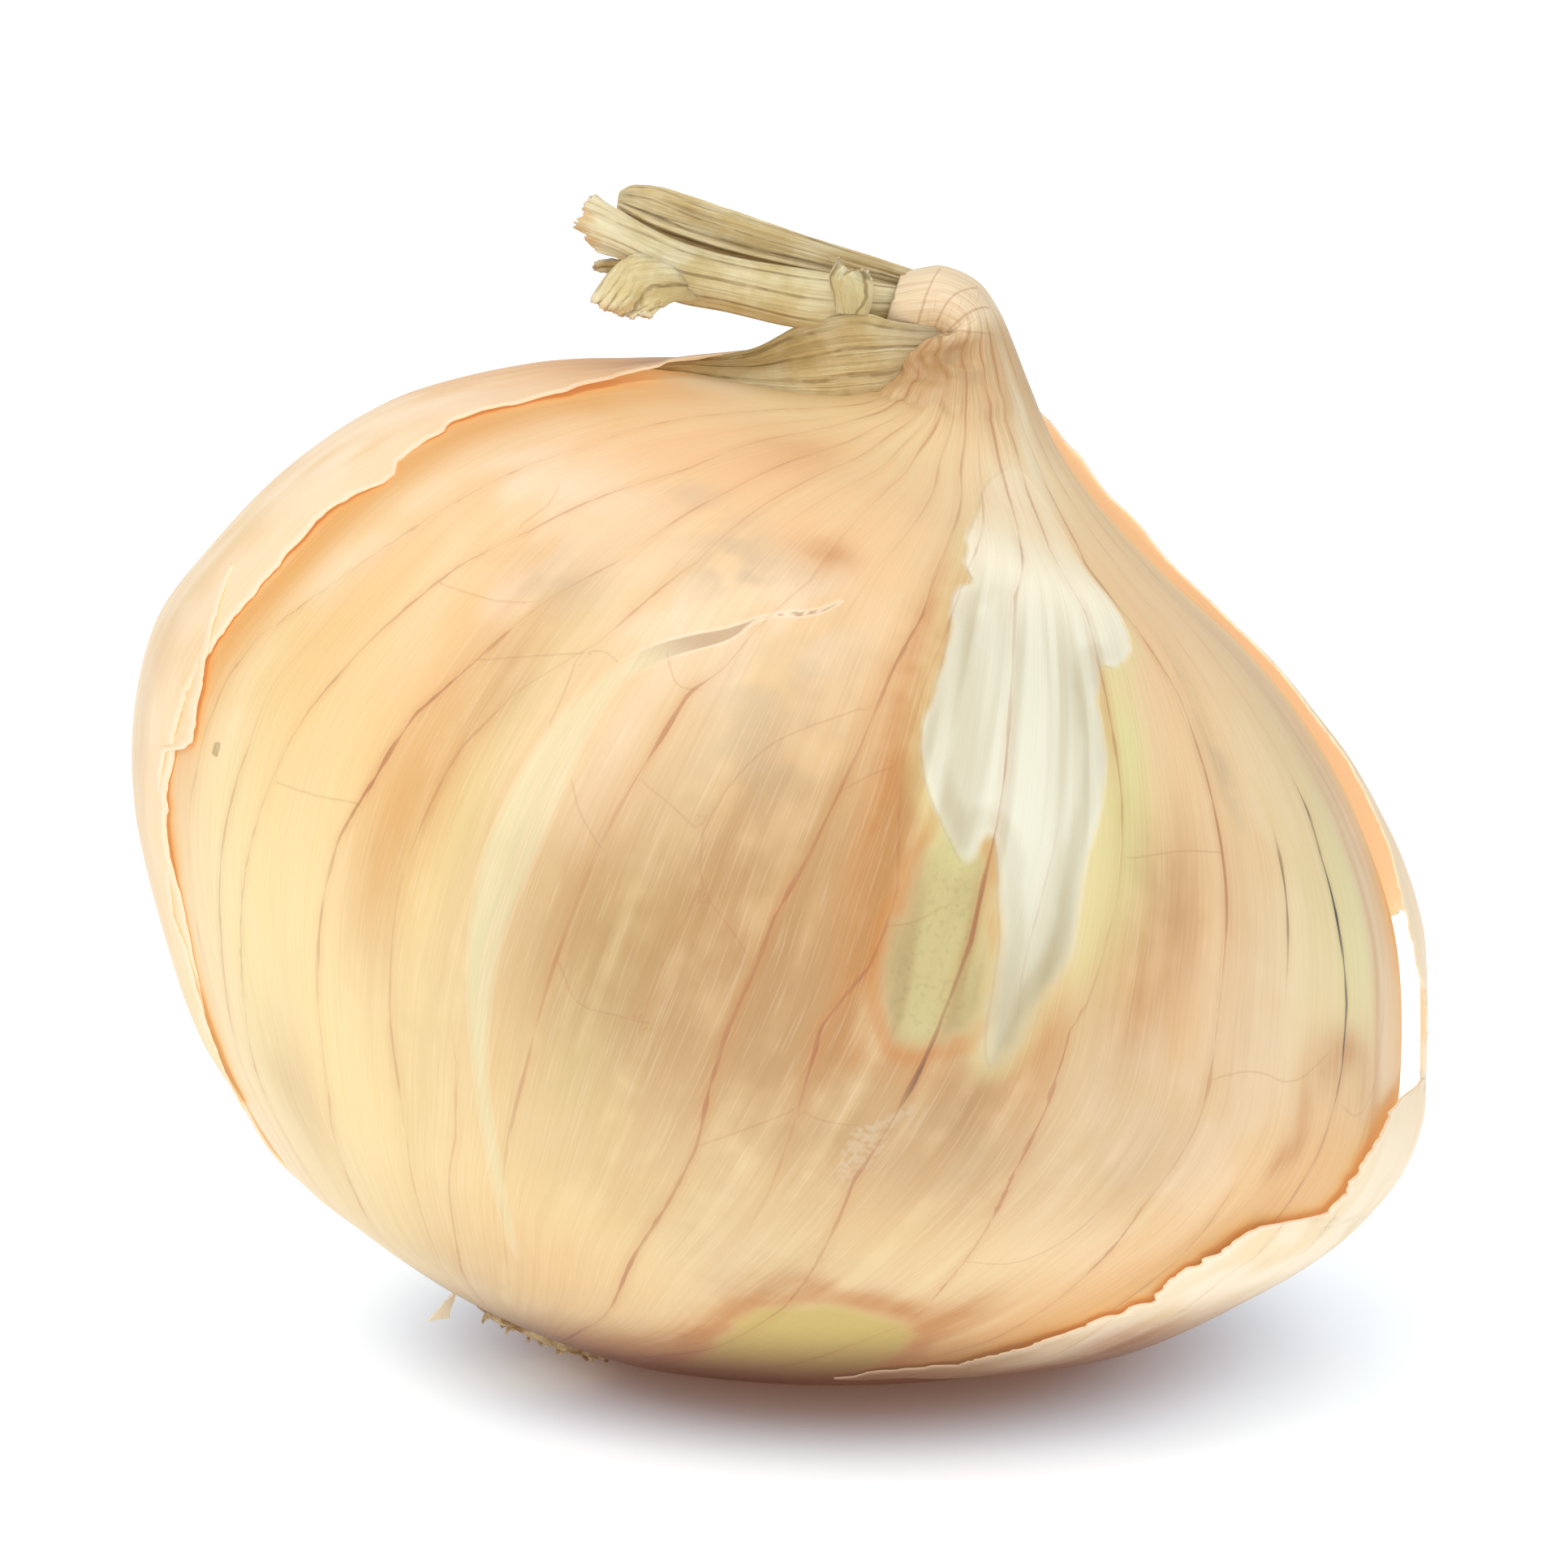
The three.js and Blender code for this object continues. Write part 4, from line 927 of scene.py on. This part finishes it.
def makeLooseSkin():
    detail = looseDetail
    skin, across, climb = gridPiece("looseSkin", detail["columns"], detail["rows"])
    share = across - 0.1 * np.sin(2 * math.pi * across)
    foot = edgeTable(share, detail["foot"]) + 0.07 * roughly(share * 60, 71)
    top = edgeTable(share, detail["top"]) + 0.1 * roughly(share * 40, 72)
    station = foot + (top - foot) * climb
    raggedRight, raggedLeft = detail["ragged"]
    rightEdge = edgeTable(station, detail["rightEdge"]) + raggedRight * roughly(station * 9, 73)
    leftEdge = edgeTable(station, detail["leftEdge"]) + raggedLeft * roughly(station * 7, 74)
    azimuth = rightEdge + (leftEdge - rightEdge) * share
    azimuth, station, cut = snapToHole(azimuth, station)
    lift = looseLift(azimuth, station, share) + edgeWaves(azimuth, station, share)
    points = bulbPoint(azimuth, station, lift)
    moveTo(skin, np.clip(points, detail["least"], detail["most"]))
    keepSkinFields(skin, azimuth, station, looseStainsAndShade)
    wide, tall = detail["span"]
    keep(skin, "edgeAway", np.minimum(np.minimum(share, 1 - share) * wide, np.minimum(climb, 1 - climb) * tall))
    inEditMode(skin, lambda: bpy.ops.mesh.delete(type="VERT"), cut)
    return thicken(skin, detail["thickness"])


def snapToHole(azimuth, station):    # rows and columns near the hole's edge move onto it
    scale, grip = np.array(looseDetail["holeScale"]), looseDetail["holeGrip"]
    edge = []
    for start, end in zip(*segments(np.array(looseDetail["hole"], float), True)):
        steps = max(2, int(math.hypot(*((end - start) * scale)) / 0.25))
        edge += [start + (end - start) * i / steps for i in range(steps)]
    edge = np.array(edge)
    edge[:, 0] += 0.3 * roughly(np.arange(len(edge)) / 6, 81)
    edge[:, 1] += 0.03 * roughly(np.arange(len(edge)) / 5, 82)
    low, high = edge.min(0) - (3, 0.4), edge.max(0) + (3, 0.4)
    near = (azimuth > low[0]) & (azimuth < high[0]) & (station > low[1]) & (station < high[1])
    spot = np.nonzero(near)[0]
    here = np.stack([azimuth[spot], station[spot]], -1)
    gaps = np.linalg.norm((here[:, None] - edge[None]) * scale, axis=-1)
    nearest, gap = gaps.argmin(1), gaps.min(1)
    cut = np.zeros(len(azimuth), bool)
    cut[spot] = inside(azimuth[spot], station[spot], edge) & (gap > grip)
    close = gap <= grip
    azimuth[spot[close]], station[spot[close]] = edge[nearest[close]].T
    return azimuth, station, cut


# A thinner ply of the same skin that shows under the loose skin's left edge

plyDetail = {
    "columns": 60, "rows": 200,
    "thickness": 0.1,
    "stations": (4.6, 10.2), "hiddenEdge": 262,
    "span": 24,    # mm
    "lift": (0.1, 0.22),    # mm, all over, and how much more at the edge
    "edge": [
        (4.6, 285), (5.24, 289.2), (6.3, 289.4), (6.55, 287.4), (6.9, 288.6), (7.24, 289.6), (7.44, 287.8),
        (7.94, 288.2), (8.2, 289), (8.34, 293), (8.45, 294.6), (8.9, 293.6), (9.3, 292), (9.74, 289.4), (10.2, 285),
    ],
}


def makePly():
    detail = plyDetail
    ply, across, climb = gridPiece("underPly", detail["columns"], detail["rows"])
    low, high = detail["stations"]
    station = low + (high - low) * climb
    edge = edgeTable(station, detail["edge"]) + 0.35 * roughly(station * 9, 91)
    azimuth = detail["hiddenEdge"] + (edge - detail["hiddenEdge"]) * across ** 0.7
    lift, curl = detail["lift"]
    lift = lift + curl * eased(across, 0.8, 1) * (1 + 0.5 * noise1(station * 2, 92))
    moveTo(ply, bulbPoint(azimuth, station, lift))
    keepSkinFields(ply, azimuth, station, looseStainsAndShade)
    keep(ply, "edgeAway", (1 - across ** 0.7) * detail["span"])
    return thicken(ply, detail["thickness"])


# The dried leaves that come out of the collar. Rows of points: across, up, front, in mm in the side view

leafDetail = {
    "roll": {
        "around": 96, "along": 150,
        "rows": [
            [8.2, 70.5, -0.8, 0.6, 1.5], [5.2, 71.4, -0.8, 0.72, 1.8], [0.5, 72.5, -0.8, 1.05, 2.1],
            [-4.7, 73.8, -0.9, 1.4, 2.2], [-8.8, 75.05, -1.0, 1.5, 2.3], [-10.9, 75.8, -1.0, 1.2, 2.0],
            [-11.9, 75.95, -1.0, 0.6, 1.2],
        ],
        # how many round, turned how far, share
        "flutes": [(9, 0.6, 0.55), (14, 2.1, 0.4), (23, 1.1, 0.3)], "fluteDepth": 0.13,
        "veins": 11, "twist": 0.12, "dark": 0.42, "length": 20,
    },
    "blade": [
        [(7, 70.6, 0), (7, 70.2, 1.2), (7, 69.4, 1.7), (7, 68.6, 1.2), (7, 68.3, 0)],
        [(4.2, 71.0, .6), (4.2, 70.6, 2.1), (4.2, 69.5, 2.6), (4.2, 68.4, 1.9), (4.2, 68, .2)],
        [(0, 71.8, 1.8), (0, 71.1, 2.6), (0, 69.9, 3), (0, 68.6, 2.2), (-.3, 68.1, .3)],
        [(-4.6, 72.6, 2.2), (-4.6, 72, 2.8), (-4.7, 70.9, 3.2), (-4.7, 69.8, 2.5), (-4.8, 69.1, .6)],
        [(-8, 73.6, 2.1), (-8.2, 73, 2.9), (-8.4, 71.8, 3.3), (-8.6, 70.7, 2.6), (-8.6, 70, 1)],
        [(-10.9, 75, 1.7), (-11.3, 74.4, 2.7), (-11.5, 73.5, 3.2), (-11.2, 72.7, 2.6), (-10.6, 72.1, 1.6)],
        [(-13.4, 76.6, 1.4), (-14.2, 75.7, 2.3), (-14.7, 74.8, 2.7), (-13.6, 73.5, 2.4), (-12.5, 72.8, 2)],
    ],
    "flap": [
        [(-6.3, 72.4, 1.6), (-6.1, 71.2, 2), (-5.8, 69.9, 1.6)],
        [(-9.8, 72.9, 3.2), (-8.9, 71.4, 4), (-8.1, 69.9, 3.5)],
        [(-11.4, 72.7, 3.4), (-10.2, 71.1, 4.4), (-8.8, 69.7, 3.8)],
        [(-12.4, 71.6, 3.3), (-11.1, 70.2, 4.5), (-9.3, 69.4, 4)],
        [(-13.6, 69.9, 3), (-12, 69.2, 4.2), (-9.8, 68.9, 4)],
    ],
    "web": [
        [(-11.2, 64.6, -3.4), (-11.2, 64.8, -3.6), (-11.2, 65, -3.9)],
        [(-8.2, 64.7, -2.5), (-8.2, 65.2, -3), (-8.2, 65.6, -3.4)],
        [(-5.2, 64.1, -1), (-5.2, 65.1, -2.5), (-5.2, 65.9, -3.2)],
        [(-2.9, 63.8, -.5), (-2.9, 65.2, -1.8), (-2.9, 66.6, -1.8)],
        [(-.5, 63.5, 0), (-.5, 65.7, -.6), (-.5, 68.1, .6)],
        [(1.6, 63.4, .3), (1.6, 66.2, .8), (1.6, 68.8, 2.6)],
        [(3.7, 63.7, .6), (3.8, 66.6, 2.5), (3.9, 69.2, 4.2)],
        [(5.2, 63.9, 1), (5.6, 66.8, 2.8), (5.6, 68.7, 3.6)],
        [(6.8, 64.7, 1), (7.2, 66.8, 2.2), (7.4, 68.4, 2.9)],
        [(8.4, 65.2, 1), (8.8, 67, 2), (9.2, 68.2, 2.4)],
    ],
    "bit": [
        [(-9, 72.6, -.4), (-9, 71.6, -.8), (-9, 70.8, -.8)],
        [(-11.4, 72.4, -.8), (-11.5, 71.8, -1.4), (-11.3, 71.2, -1.3)],
        [(-13.3, 72.1, -1), (-13.5, 71.7, -1.5), (-12.9, 71.4, -1.5)],
    ],
    "scrap": [
        [(2.1, 69.2, 4.2), (3, 69.2, 4.9), (4.1, 69.1, 4.3)],
        [(1.8, 70.5, 4.3), (2.9, 70.5, 5.1), (4.5, 70.4, 4.2)],
        [(1.6, 71.5, 4.3), (2.7, 71.6, 5), (4.4, 71.2, 4.1)],
        [(2.2, 72.7, 4.5), (3, 72, 4.7), (3.9, 72.1, 4.1)],
    ],
    "thickness": 0.14,
}


def makeRoll():
    detail = leafDetail["roll"]
    roll, across, climb = gridPiece("leafRoll", detail["around"], detail["along"])
    rows = np.array(detail["rows"])
    last = len(rows) - 1
    turn = 2 * math.pi * across
    position = last * np.minimum(climb / 0.97, 1)
    row = rowAt(rows, position)
    ahead, behind = rowAt(rows, np.minimum(position + 0.1, last)), rowAt(rows, np.maximum(position - 0.1, 0))
    path = ahead[:, :2] - behind[:, :2]
    path /= np.linalg.norm(path, axis=-1, keepdims=True)
    twist = turn + detail["twist"] * position
    flutes = sum(share * np.sin(count * twist + start) for count, start, share in detail["flutes"])
    flutes += 0.5 * noise2(twist * 3, position * 1.4, 101)
    closing = 1 - 0.96 * eased(climb, 0.955, 1)    # the far end folds in on itself
    swell = (1 + detail["fluteDepth"] * flutes * eased(climb, 0, 0.1)) * closing
    high, deep = row[:, 3] * swell * np.sin(turn), row[:, 4] * swell * np.cos(turn)
    moveTo(roll, place(row[:, 0] - path[:, 1] * high, row[:, 1] + path[:, 0] * high, row[:, 2] + deep))
    keep(roll, "leafPlace", np.stack([np.sin(turn) * 1.6, np.cos(turn) * 1.6, position * 0.5], -1))
    keep(roll, "groove", np.clip(-flutes, -1, 1))
    sway = 0.25 * noise1(position * 1.3, 103)
    keep(roll, "veinAway", veinAway(twist * detail["veins"] / (2 * math.pi) + sway, 1.0))
    keep(roll, "tipAway", (1 - climb) * detail["length"])
    keep(roll, "dark", detail["dark"])
    weld(roll)
    inEditMode(roll, lambda: bpy.ops.mesh.fill_holes(sides=0))
    return roll


def makeLeafSheet(name):    # a torn leaf drawn through rows of points
    size, seed, wave, ragged, dark, veinGap = sheetDetail[name]
    sheet, across, climb = gridPiece("leaf" + name, *size)
    control = np.array(leafDetail[name], float)
    last = len(control) - 1
    position = climb * last + ragged * roughly(across * 9, seed) * eased(climb, 0.6, 1)
    rowPoints = rowAt(control.reshape(last + 1, -1), np.clip(position, 0, last)).reshape(len(across), -1, 3)
    last = control.shape[1] - 1
    i = np.clip(np.floor(across * last).astype(int), 0, last - 1)
    t = (across * last - i)[:, None]
    column = np.arange(len(across))
    spot = curve(*(rowPoints[column, np.clip(i + step, 0, last)] for step in (-1, 0, 1, 2)), t)
    crinkle = noise2(across * 6, climb * 5, seed + 5) + 0.5 * noise2(across * 15, climb * 9, seed + 6)
    ribs = np.abs(noise2(across * 9, climb * 1.2, seed + 7))
    spot[:, 2] += wave * crinkle * eased(climb, 0.35, 1) - 0.12 * ribs
    spot[:, 1] += 0.3 * wave * noise2(across * 7, climb * 4, seed + 8, 9) * climb
    moveTo(sheet, place(*spot.T))
    keep(sheet, "leafPlace", np.stack([across * 3, across * 0, climb * 3], -1))
    keep(sheet, "groove", 1 - 4 * ribs)
    wide = np.linalg.norm(np.diff(control, axis=1), axis=-1).sum(1).mean()
    sway = 0.35 * noise1(climb * 2.2, seed + 9) + 0.12 * noise1(climb * 9, seed + 10)
    keep(sheet, "veinAway", veinAway(across * wide / veinGap + sway, veinGap))
    keep(sheet, "tipAway", (1 - climb) * 12)
    keep(sheet, "dark", dark)
    return thicken(sheet, leafDetail["thickness"])


def joined(name, pieces):
    bpy.ops.object.select_all(action="DESELECT")
    for piece in pieces:
        piece.select_set(True)
    bpy.context.view_layer.objects.active = pieces[0]
    bpy.ops.object.join()
    pieces[0].name = pieces[0].data.name = name
    pieces[0].select_set(False)
    return pieces[0]


# Columns and rows, seed, crinkle in mm, raggedness of the end, how dark, mm from vein to vein
sheetDetail = {
    "blade": ((110, 140), 141, 0.36, 0.4, 0.28, 1.3),
    "flap": ((80, 70), 151, 0.75, 0.4, 0.05, 2.4),
    "bit": ((30, 40), 161, 0.2, 0.2, 0.3, 0.6),
    "scrap": ((50, 60), 171, 0.4, 0.45, 0.0, 2.0),
    "web": ((60, 130), 181, 0.1, 0.0, 0.35, 1.1),
}
leafLook = {
    "pale": rgb(236, 222, 180), "straw": rgb(214, 192, 138), "tan": rgb(190, 162, 116), "dark": rgb(118, 88, 52),
    "edge": rgb(204, 146, 88), "tip": rgb(242, 228, 194), "threadShade": rgb(226, 206, 168),
}


def leafPaint():
    paint, look = Paint("driedLeaf"), leafLook
    number, ramp, fade = paint.number, paint.ramp, paint.fade
    along, place = number("leafPlace", "Vector"), paint.place()
    threads = paint.drawn(along, (14.0, 14.0, 1.1), 3.0, 0.6)
    fine = paint.drawn(along, (46.0, 46.0, 3.0), 2.0)
    blotch = paint.noise(place, 320.0, 4.0, 0.6)
    dark, tip = number("dark"), number("tipAway")
    stripe = ramp(number("groove"), 0.25, 0.85) * ramp(threads, 0.36, 0.52)
    veinFade = 0.35 + 0.65 * ramp(paint.noise(place, 500.0, 2.0), 0.35, 0.6)
    vein = fade(number("veinAway") + (fine - 0.5) * 0.1, 0.03, 0.13) * veinFade
    colour = paint.coats(
        look["straw"], look,
        pale=ramp(blotch, 0.35, 0.65),
        tan=dark * (0.25 + 0.75 * ramp(threads, 0.4, 0.6)),
        dark=stripe * (0.02 + 0.5 * dark),
    )
    colour = paint.coats(
        colour, look,
        dark=vein * 0.6,
        tip=fade(tip, 0.2, 4.0) * 0.45,
        edge=fade(tip + (blotch - 0.5) * 3.0, 0.1, 0.9) * 0.5,
    )
    colour = paint.mix(colour, look["threadShade"], ramp(fine, 0.5, 0.75) * 0.35, "MULTIPLY")
    height = (threads - 0.5) * 0.12 + (fine - 0.5) * 0.05 - stripe * 0.05 + (blotch - 0.5) * 0.05 - vein * 0.06
    fixed = {"Subsurface Weight": 0.25, "Subsurface Radius": (1.0, 0.75, 0.4), "Subsurface Scale": 0.0012}
    return paint.finish(colour, 0.55 + 0.2 * blotch, height, **fixed, **{"Specular IOR Level": 0.3})


# The root plate with its stubs

rootDetail = {
    "radius": 4.9, "sides": 64, "tilt": 21.5, "lowest": 0.12,
    "rings": 10, "ringShare": 0.085,    # of the radius
    "stubs": 26, "stubRadius": 0.2, "shortest": 0.7, "longest": 0.9, "stubsWithin": 0.84,
    "pale": rgb(212, 184, 140), "clump": rgb(150, 112, 70), "dark": rgb(86, 62, 40),
}


def rootFrame():    # where the plate lies and the three ways it faces
    middle = roundPoint(np.zeros(1), np.zeros(1))[0]
    lean, tilt = math.radians(-onionShape["leanBack"]), math.radians(rootDetail["tilt"])
    turnX = np.array([[1, 0, 0], [0, math.cos(lean), -math.sin(lean)], [0, math.sin(lean), math.cos(lean)]])
    turnY = np.array([[math.cos(tilt), 0, math.sin(tilt)], [0, 1, 0], [-math.sin(tilt), 0, math.cos(tilt)]])
    return middle, turnX @ turnY


def makeRootPlate():
    detail = rootDetail
    middle, ways = rootFrame()
    bpy.ops.mesh.primitive_circle_add(vertices=detail["sides"], radius=detail["radius"], fill_type="TRIFAN")
    plate = bpy.context.object

    def ringsAndRim():
        for i in range(detail["rings"]):
            bpy.ops.mesh.inset(thickness=detail["radius"] * detail["ringShare"])
        bpy.ops.mesh.select_all(action="SELECT")
        bpy.ops.mesh.extrude_region_move(TRANSFORM_OT_translate={"value": (0, 0, 1.0)})
        bpy.ops.mesh.select_all(action="SELECT")
        bpy.ops.mesh.normals_make_consistent(inside=False)

    inEditMode(plate, ringsAndRim)
    co = vertices(plate)
    out = np.linalg.norm(co[:, :2], axis=-1)
    lumps = -0.35 - 0.25 * noise3(co / 0.7, 111) * (out < 4.6) + 0.25 * eased(out, 3.6, detail["radius"])
    co[:, 2] = np.where(co[:, 2] < 0.5, lumps, co[:, 2])
    moveTo(plate, middle + co @ ways.T)
    whole = joined("rootPlate", [plate] + [makeStub(i, middle, ways) for i in range(detail["stubs"])])
    co = vertices(whole)
    co[:, 2] = np.maximum(co[:, 2], detail["lowest"] * millimetre)
    whole.data.vertices.foreach_set("co", co.ravel())
    return whole


def makeStub(i, middle, ways):    # a cut dry root: a tapering stick, bent and flattened a little
    detail = rootDetail
    dice = np.random.default_rng(200 + i)
    out = detail["radius"] * detail["stubsWithin"] * math.sqrt((i + 0.5) / detail["stubs"])
    turn = i * math.radians(137.5)
    foot = np.array([out * math.cos(turn), out * math.sin(turn), -0.1])
    splay = 0.3 + 0.9 * dice.uniform()
    way = np.array([math.cos(turn) * splay, math.sin(turn) * splay, -1])
    start, heading = middle + ways @ foot, ways @ (way / np.linalg.norm(way))
    length = dice.uniform(detail["shortest"], detail["longest"])
    bpy.ops.mesh.primitive_cylinder_add(vertices=8, radius=detail["stubRadius"], depth=1, end_fill_type="TRIFAN")
    stub = bpy.context.object
    inEditMode(stub, lambda: bpy.ops.mesh.subdivide(number_cuts=3))
    co = vertices(stub)
    t = co[:, 2] + 0.5
    side = np.cross(heading, [0.3, 0.9, 0.1])
    side /= np.linalg.norm(side)
    taper = (1 - 0.45 * t) * (1 + 0.15 * noise1(t * 5 + i, 121))
    bend = 0.35 * dice.uniform(-1, 1) * t ** 2
    points = start + np.outer(t * length, heading) + np.outer(co[:, 0] * taper + bend, side)
    points += np.outer(co[:, 1] * taper * dice.uniform(0.5, 1), np.cross(heading, side))
    moveTo(stub, points)
    return stub


def rootPaint():
    paint, look = Paint("dryRoot"), rootDetail
    place = paint.place()
    clumps, grain = paint.noise(place, 700.0, 4.0, 0.65), paint.noise(place, 3200.0, 3.0, 0.6)
    amounts = {"clump": paint.ramp(clumps, 0.36, 0.62), "dark": paint.ramp(grain, 0.55, 0.75) * 0.5}
    height = (clumps - 0.5) * 0.25 + (grain - 0.5) * 0.08
    return paint.finish(paint.coats(look["pale"], look, **amounts), 0.85, height, **{"Specular IOR Level": 0.2})


# A wisp of skin that hangs under the left side

wispDetail = {
    "columns": 24, "rows": 30,
    "azimuth": 272, "station": 1.5, "lift": 0.12, "degreesWide": 9,
    # inner: how much of the inner face's colour and painted glow the whole wisp takes
    "lowest": 0.4, "thickness": 0.08, "white": 1.6, "inner": 0.5,
}


def makeWisp():
    detail = wispDetail
    wisp, across, climb = gridPiece("skinWisp", detail["columns"], detail["rows"])
    azimuth = detail["azimuth"] + detail["degreesWide"] * (across - 0.5) * (1.0 - 0.2 * (1 - climb))
    station = detail["station"] + 0 * across
    drop = np.stack([-(0.4 + 1.3 * across) * climb, -0.4 * climb, -1.9 * climb], -1)
    ruffle = 0.12 * noise2(across * 4, climb * 5, 131)[:, None] * np.array([1, 1, 0])
    points = bulbPoint(azimuth, station, detail["lift"] + 0 * across) + drop + ruffle
    points[:, 2] = np.maximum(points[:, 2], detail["lowest"])
    moveTo(wisp, points)
    keepSkinFields(wisp, azimuth, station, looseStainsAndShade)
    keep(wisp, "edgeAway", 1)
    thicken(wisp, detail["thickness"])
    # Painted light: the whole wisp glows at half the inner face's strength
    keep(wisp, "inner", detail["inner"])
    keep(wisp, "white", detail["white"])
    return wisp


# Build

tightPaint, loosePaint = skinPaint("tightOnionSkin", True), skinPaint("looseOnionSkin", False)
leafMaterial, rootMaterial = leafPaint(), rootPaint()
print("materials made")

dress(makeBulb(), "bulb", tightPaint)
print("bulb made")
for make in (makeLooseSkin, makePly, makeWisp):
    dress(make(), "outer_skin", loosePaint)
print("loose skin made")
dress(makeRoll(), "dry_leaf_roll", leafMaterial)
frill = joined("leafFrill", [makeLeafSheet(name) for name in ("blade", "flap", "bit")])
dress(frill, "dry_leaf_frill", leafMaterial)
dress(makeLeafSheet("scrap"), "leaf_scrap", leafMaterial)
dress(makeLeafSheet("web"), "outer_skin", leafMaterial)
print("leaves made")
dress(makeRootPlate(), "root_plate", rootMaterial)
print("root plate made")

# Table, light and camera

stageLook = {
    "tableSize": 6.0, "tableDrop": 0.00015, "tableColour": (0.93, 0.95, 0.97, 1),
    # the table's glow, painted light that is faint and warm round its middle and brighter far from it, so that the cast
    # shadow fades out close by; and where it turns from one to the other
    "glowNear": (0.1, 0.05, 0.03, 1), "glowFar": (0.26, 0.34, 0.42, 1), "glowFrom": (0.014, 0.0305),
    "worldStrength": 0.56,
    "lights": [    # name, place, size, power, colour
        ("leftKey", (-0.6, -0.6, 0.9), 0.6, 5.2, (1.0, 0.99, 0.97)),
        ("rightFill", (0.9, -0.4, 0.6), 0.9, 1.2, (1.0, 0.99, 0.97)),
        ("topSheet", (0.0, 0.1, 1.2), 1.3, 4.4, (1.0, 0.99, 0.98)),
        ("frontFill", (0.0, -1.15, 0.4), 0.9, 2.3, (1.0, 0.99, 0.98)),
    ],
    "lightAim": (0, 0, 0.035),
    "aim": (-0.00375, -0.0025, 0.0378), "cameraDistance": 1.0, "cameraRise": 14, "frameWidth": 0.1005,
    "sensor": 36,
}


def makeStage():
    look = stageLook
    bpy.ops.mesh.primitive_plane_add(size=look["tableSize"], location=(0, 0, -look["tableDrop"]))
    table = bpy.context.object
    table.name = "table"
    table.select_set(False)
    paint = Paint("paleTable")
    # Painted light: the table glows more the farther it is from the middle, lightening its shadow away from the onion
    distance = paint.node("ShaderNodeVectorMath", {"operation": "LENGTH"}, [paint.place()], output="Value")
    paint.glow(paint.mix(look["glowNear"], look["glowFar"], paint.ramp(distance, *look["glowFrom"])), 1.0)
    paint.plug(paint.shader, {"Base Color": look["tableColour"], "Emission Strength": 1.0})
    paint.plug(paint.shader, {"Roughness": 0.7, "Specular IOR Level": 0.15})
    table.data.materials.append(paint.material)
    world = bpy.data.worlds.new("studio")
    world.use_nodes = True
    paint.plug(world.node_tree.nodes["Background"], {"Color": (1, 1, 1, 1), "Strength": look["worldStrength"]})
    bpy.context.scene.world = world
    for name, spot, size, power, colour in look["lights"]:
        bpy.ops.object.light_add(type="AREA", location=spot)
        lamp = bpy.context.object
        lamp.name = name
        lamp.data.size, lamp.data.energy, lamp.data.color = size, power, colour
        pointAt(lamp, look["lightAim"])
        lamp.select_set(False)


def pointAt(thing, target):
    x, y, z = (goal - own for goal, own in zip(target, thing.location))
    thing.rotation_euler = (math.acos(-z / math.hypot(x, y, z)), 0, math.atan2(y, x) - math.pi / 2)


def makeCamera():
    look = stageLook
    rise = math.radians(look["cameraRise"])
    x, y, z = look["aim"]
    far = look["cameraDistance"]
    bpy.ops.object.camera_add(location=(x, y - far * math.cos(rise), z + far * math.sin(rise)))
    camera = bpy.context.object
    camera.data.sensor_width = look["sensor"]
    camera.data.lens = look["sensor"] * far / look["frameWidth"]
    pointAt(camera, look["aim"])
    bpy.context.scene.camera = camera


makeStage()
makeCamera()
bpy.context.scene.view_settings.view_transform = "Standard"
print("stage made")
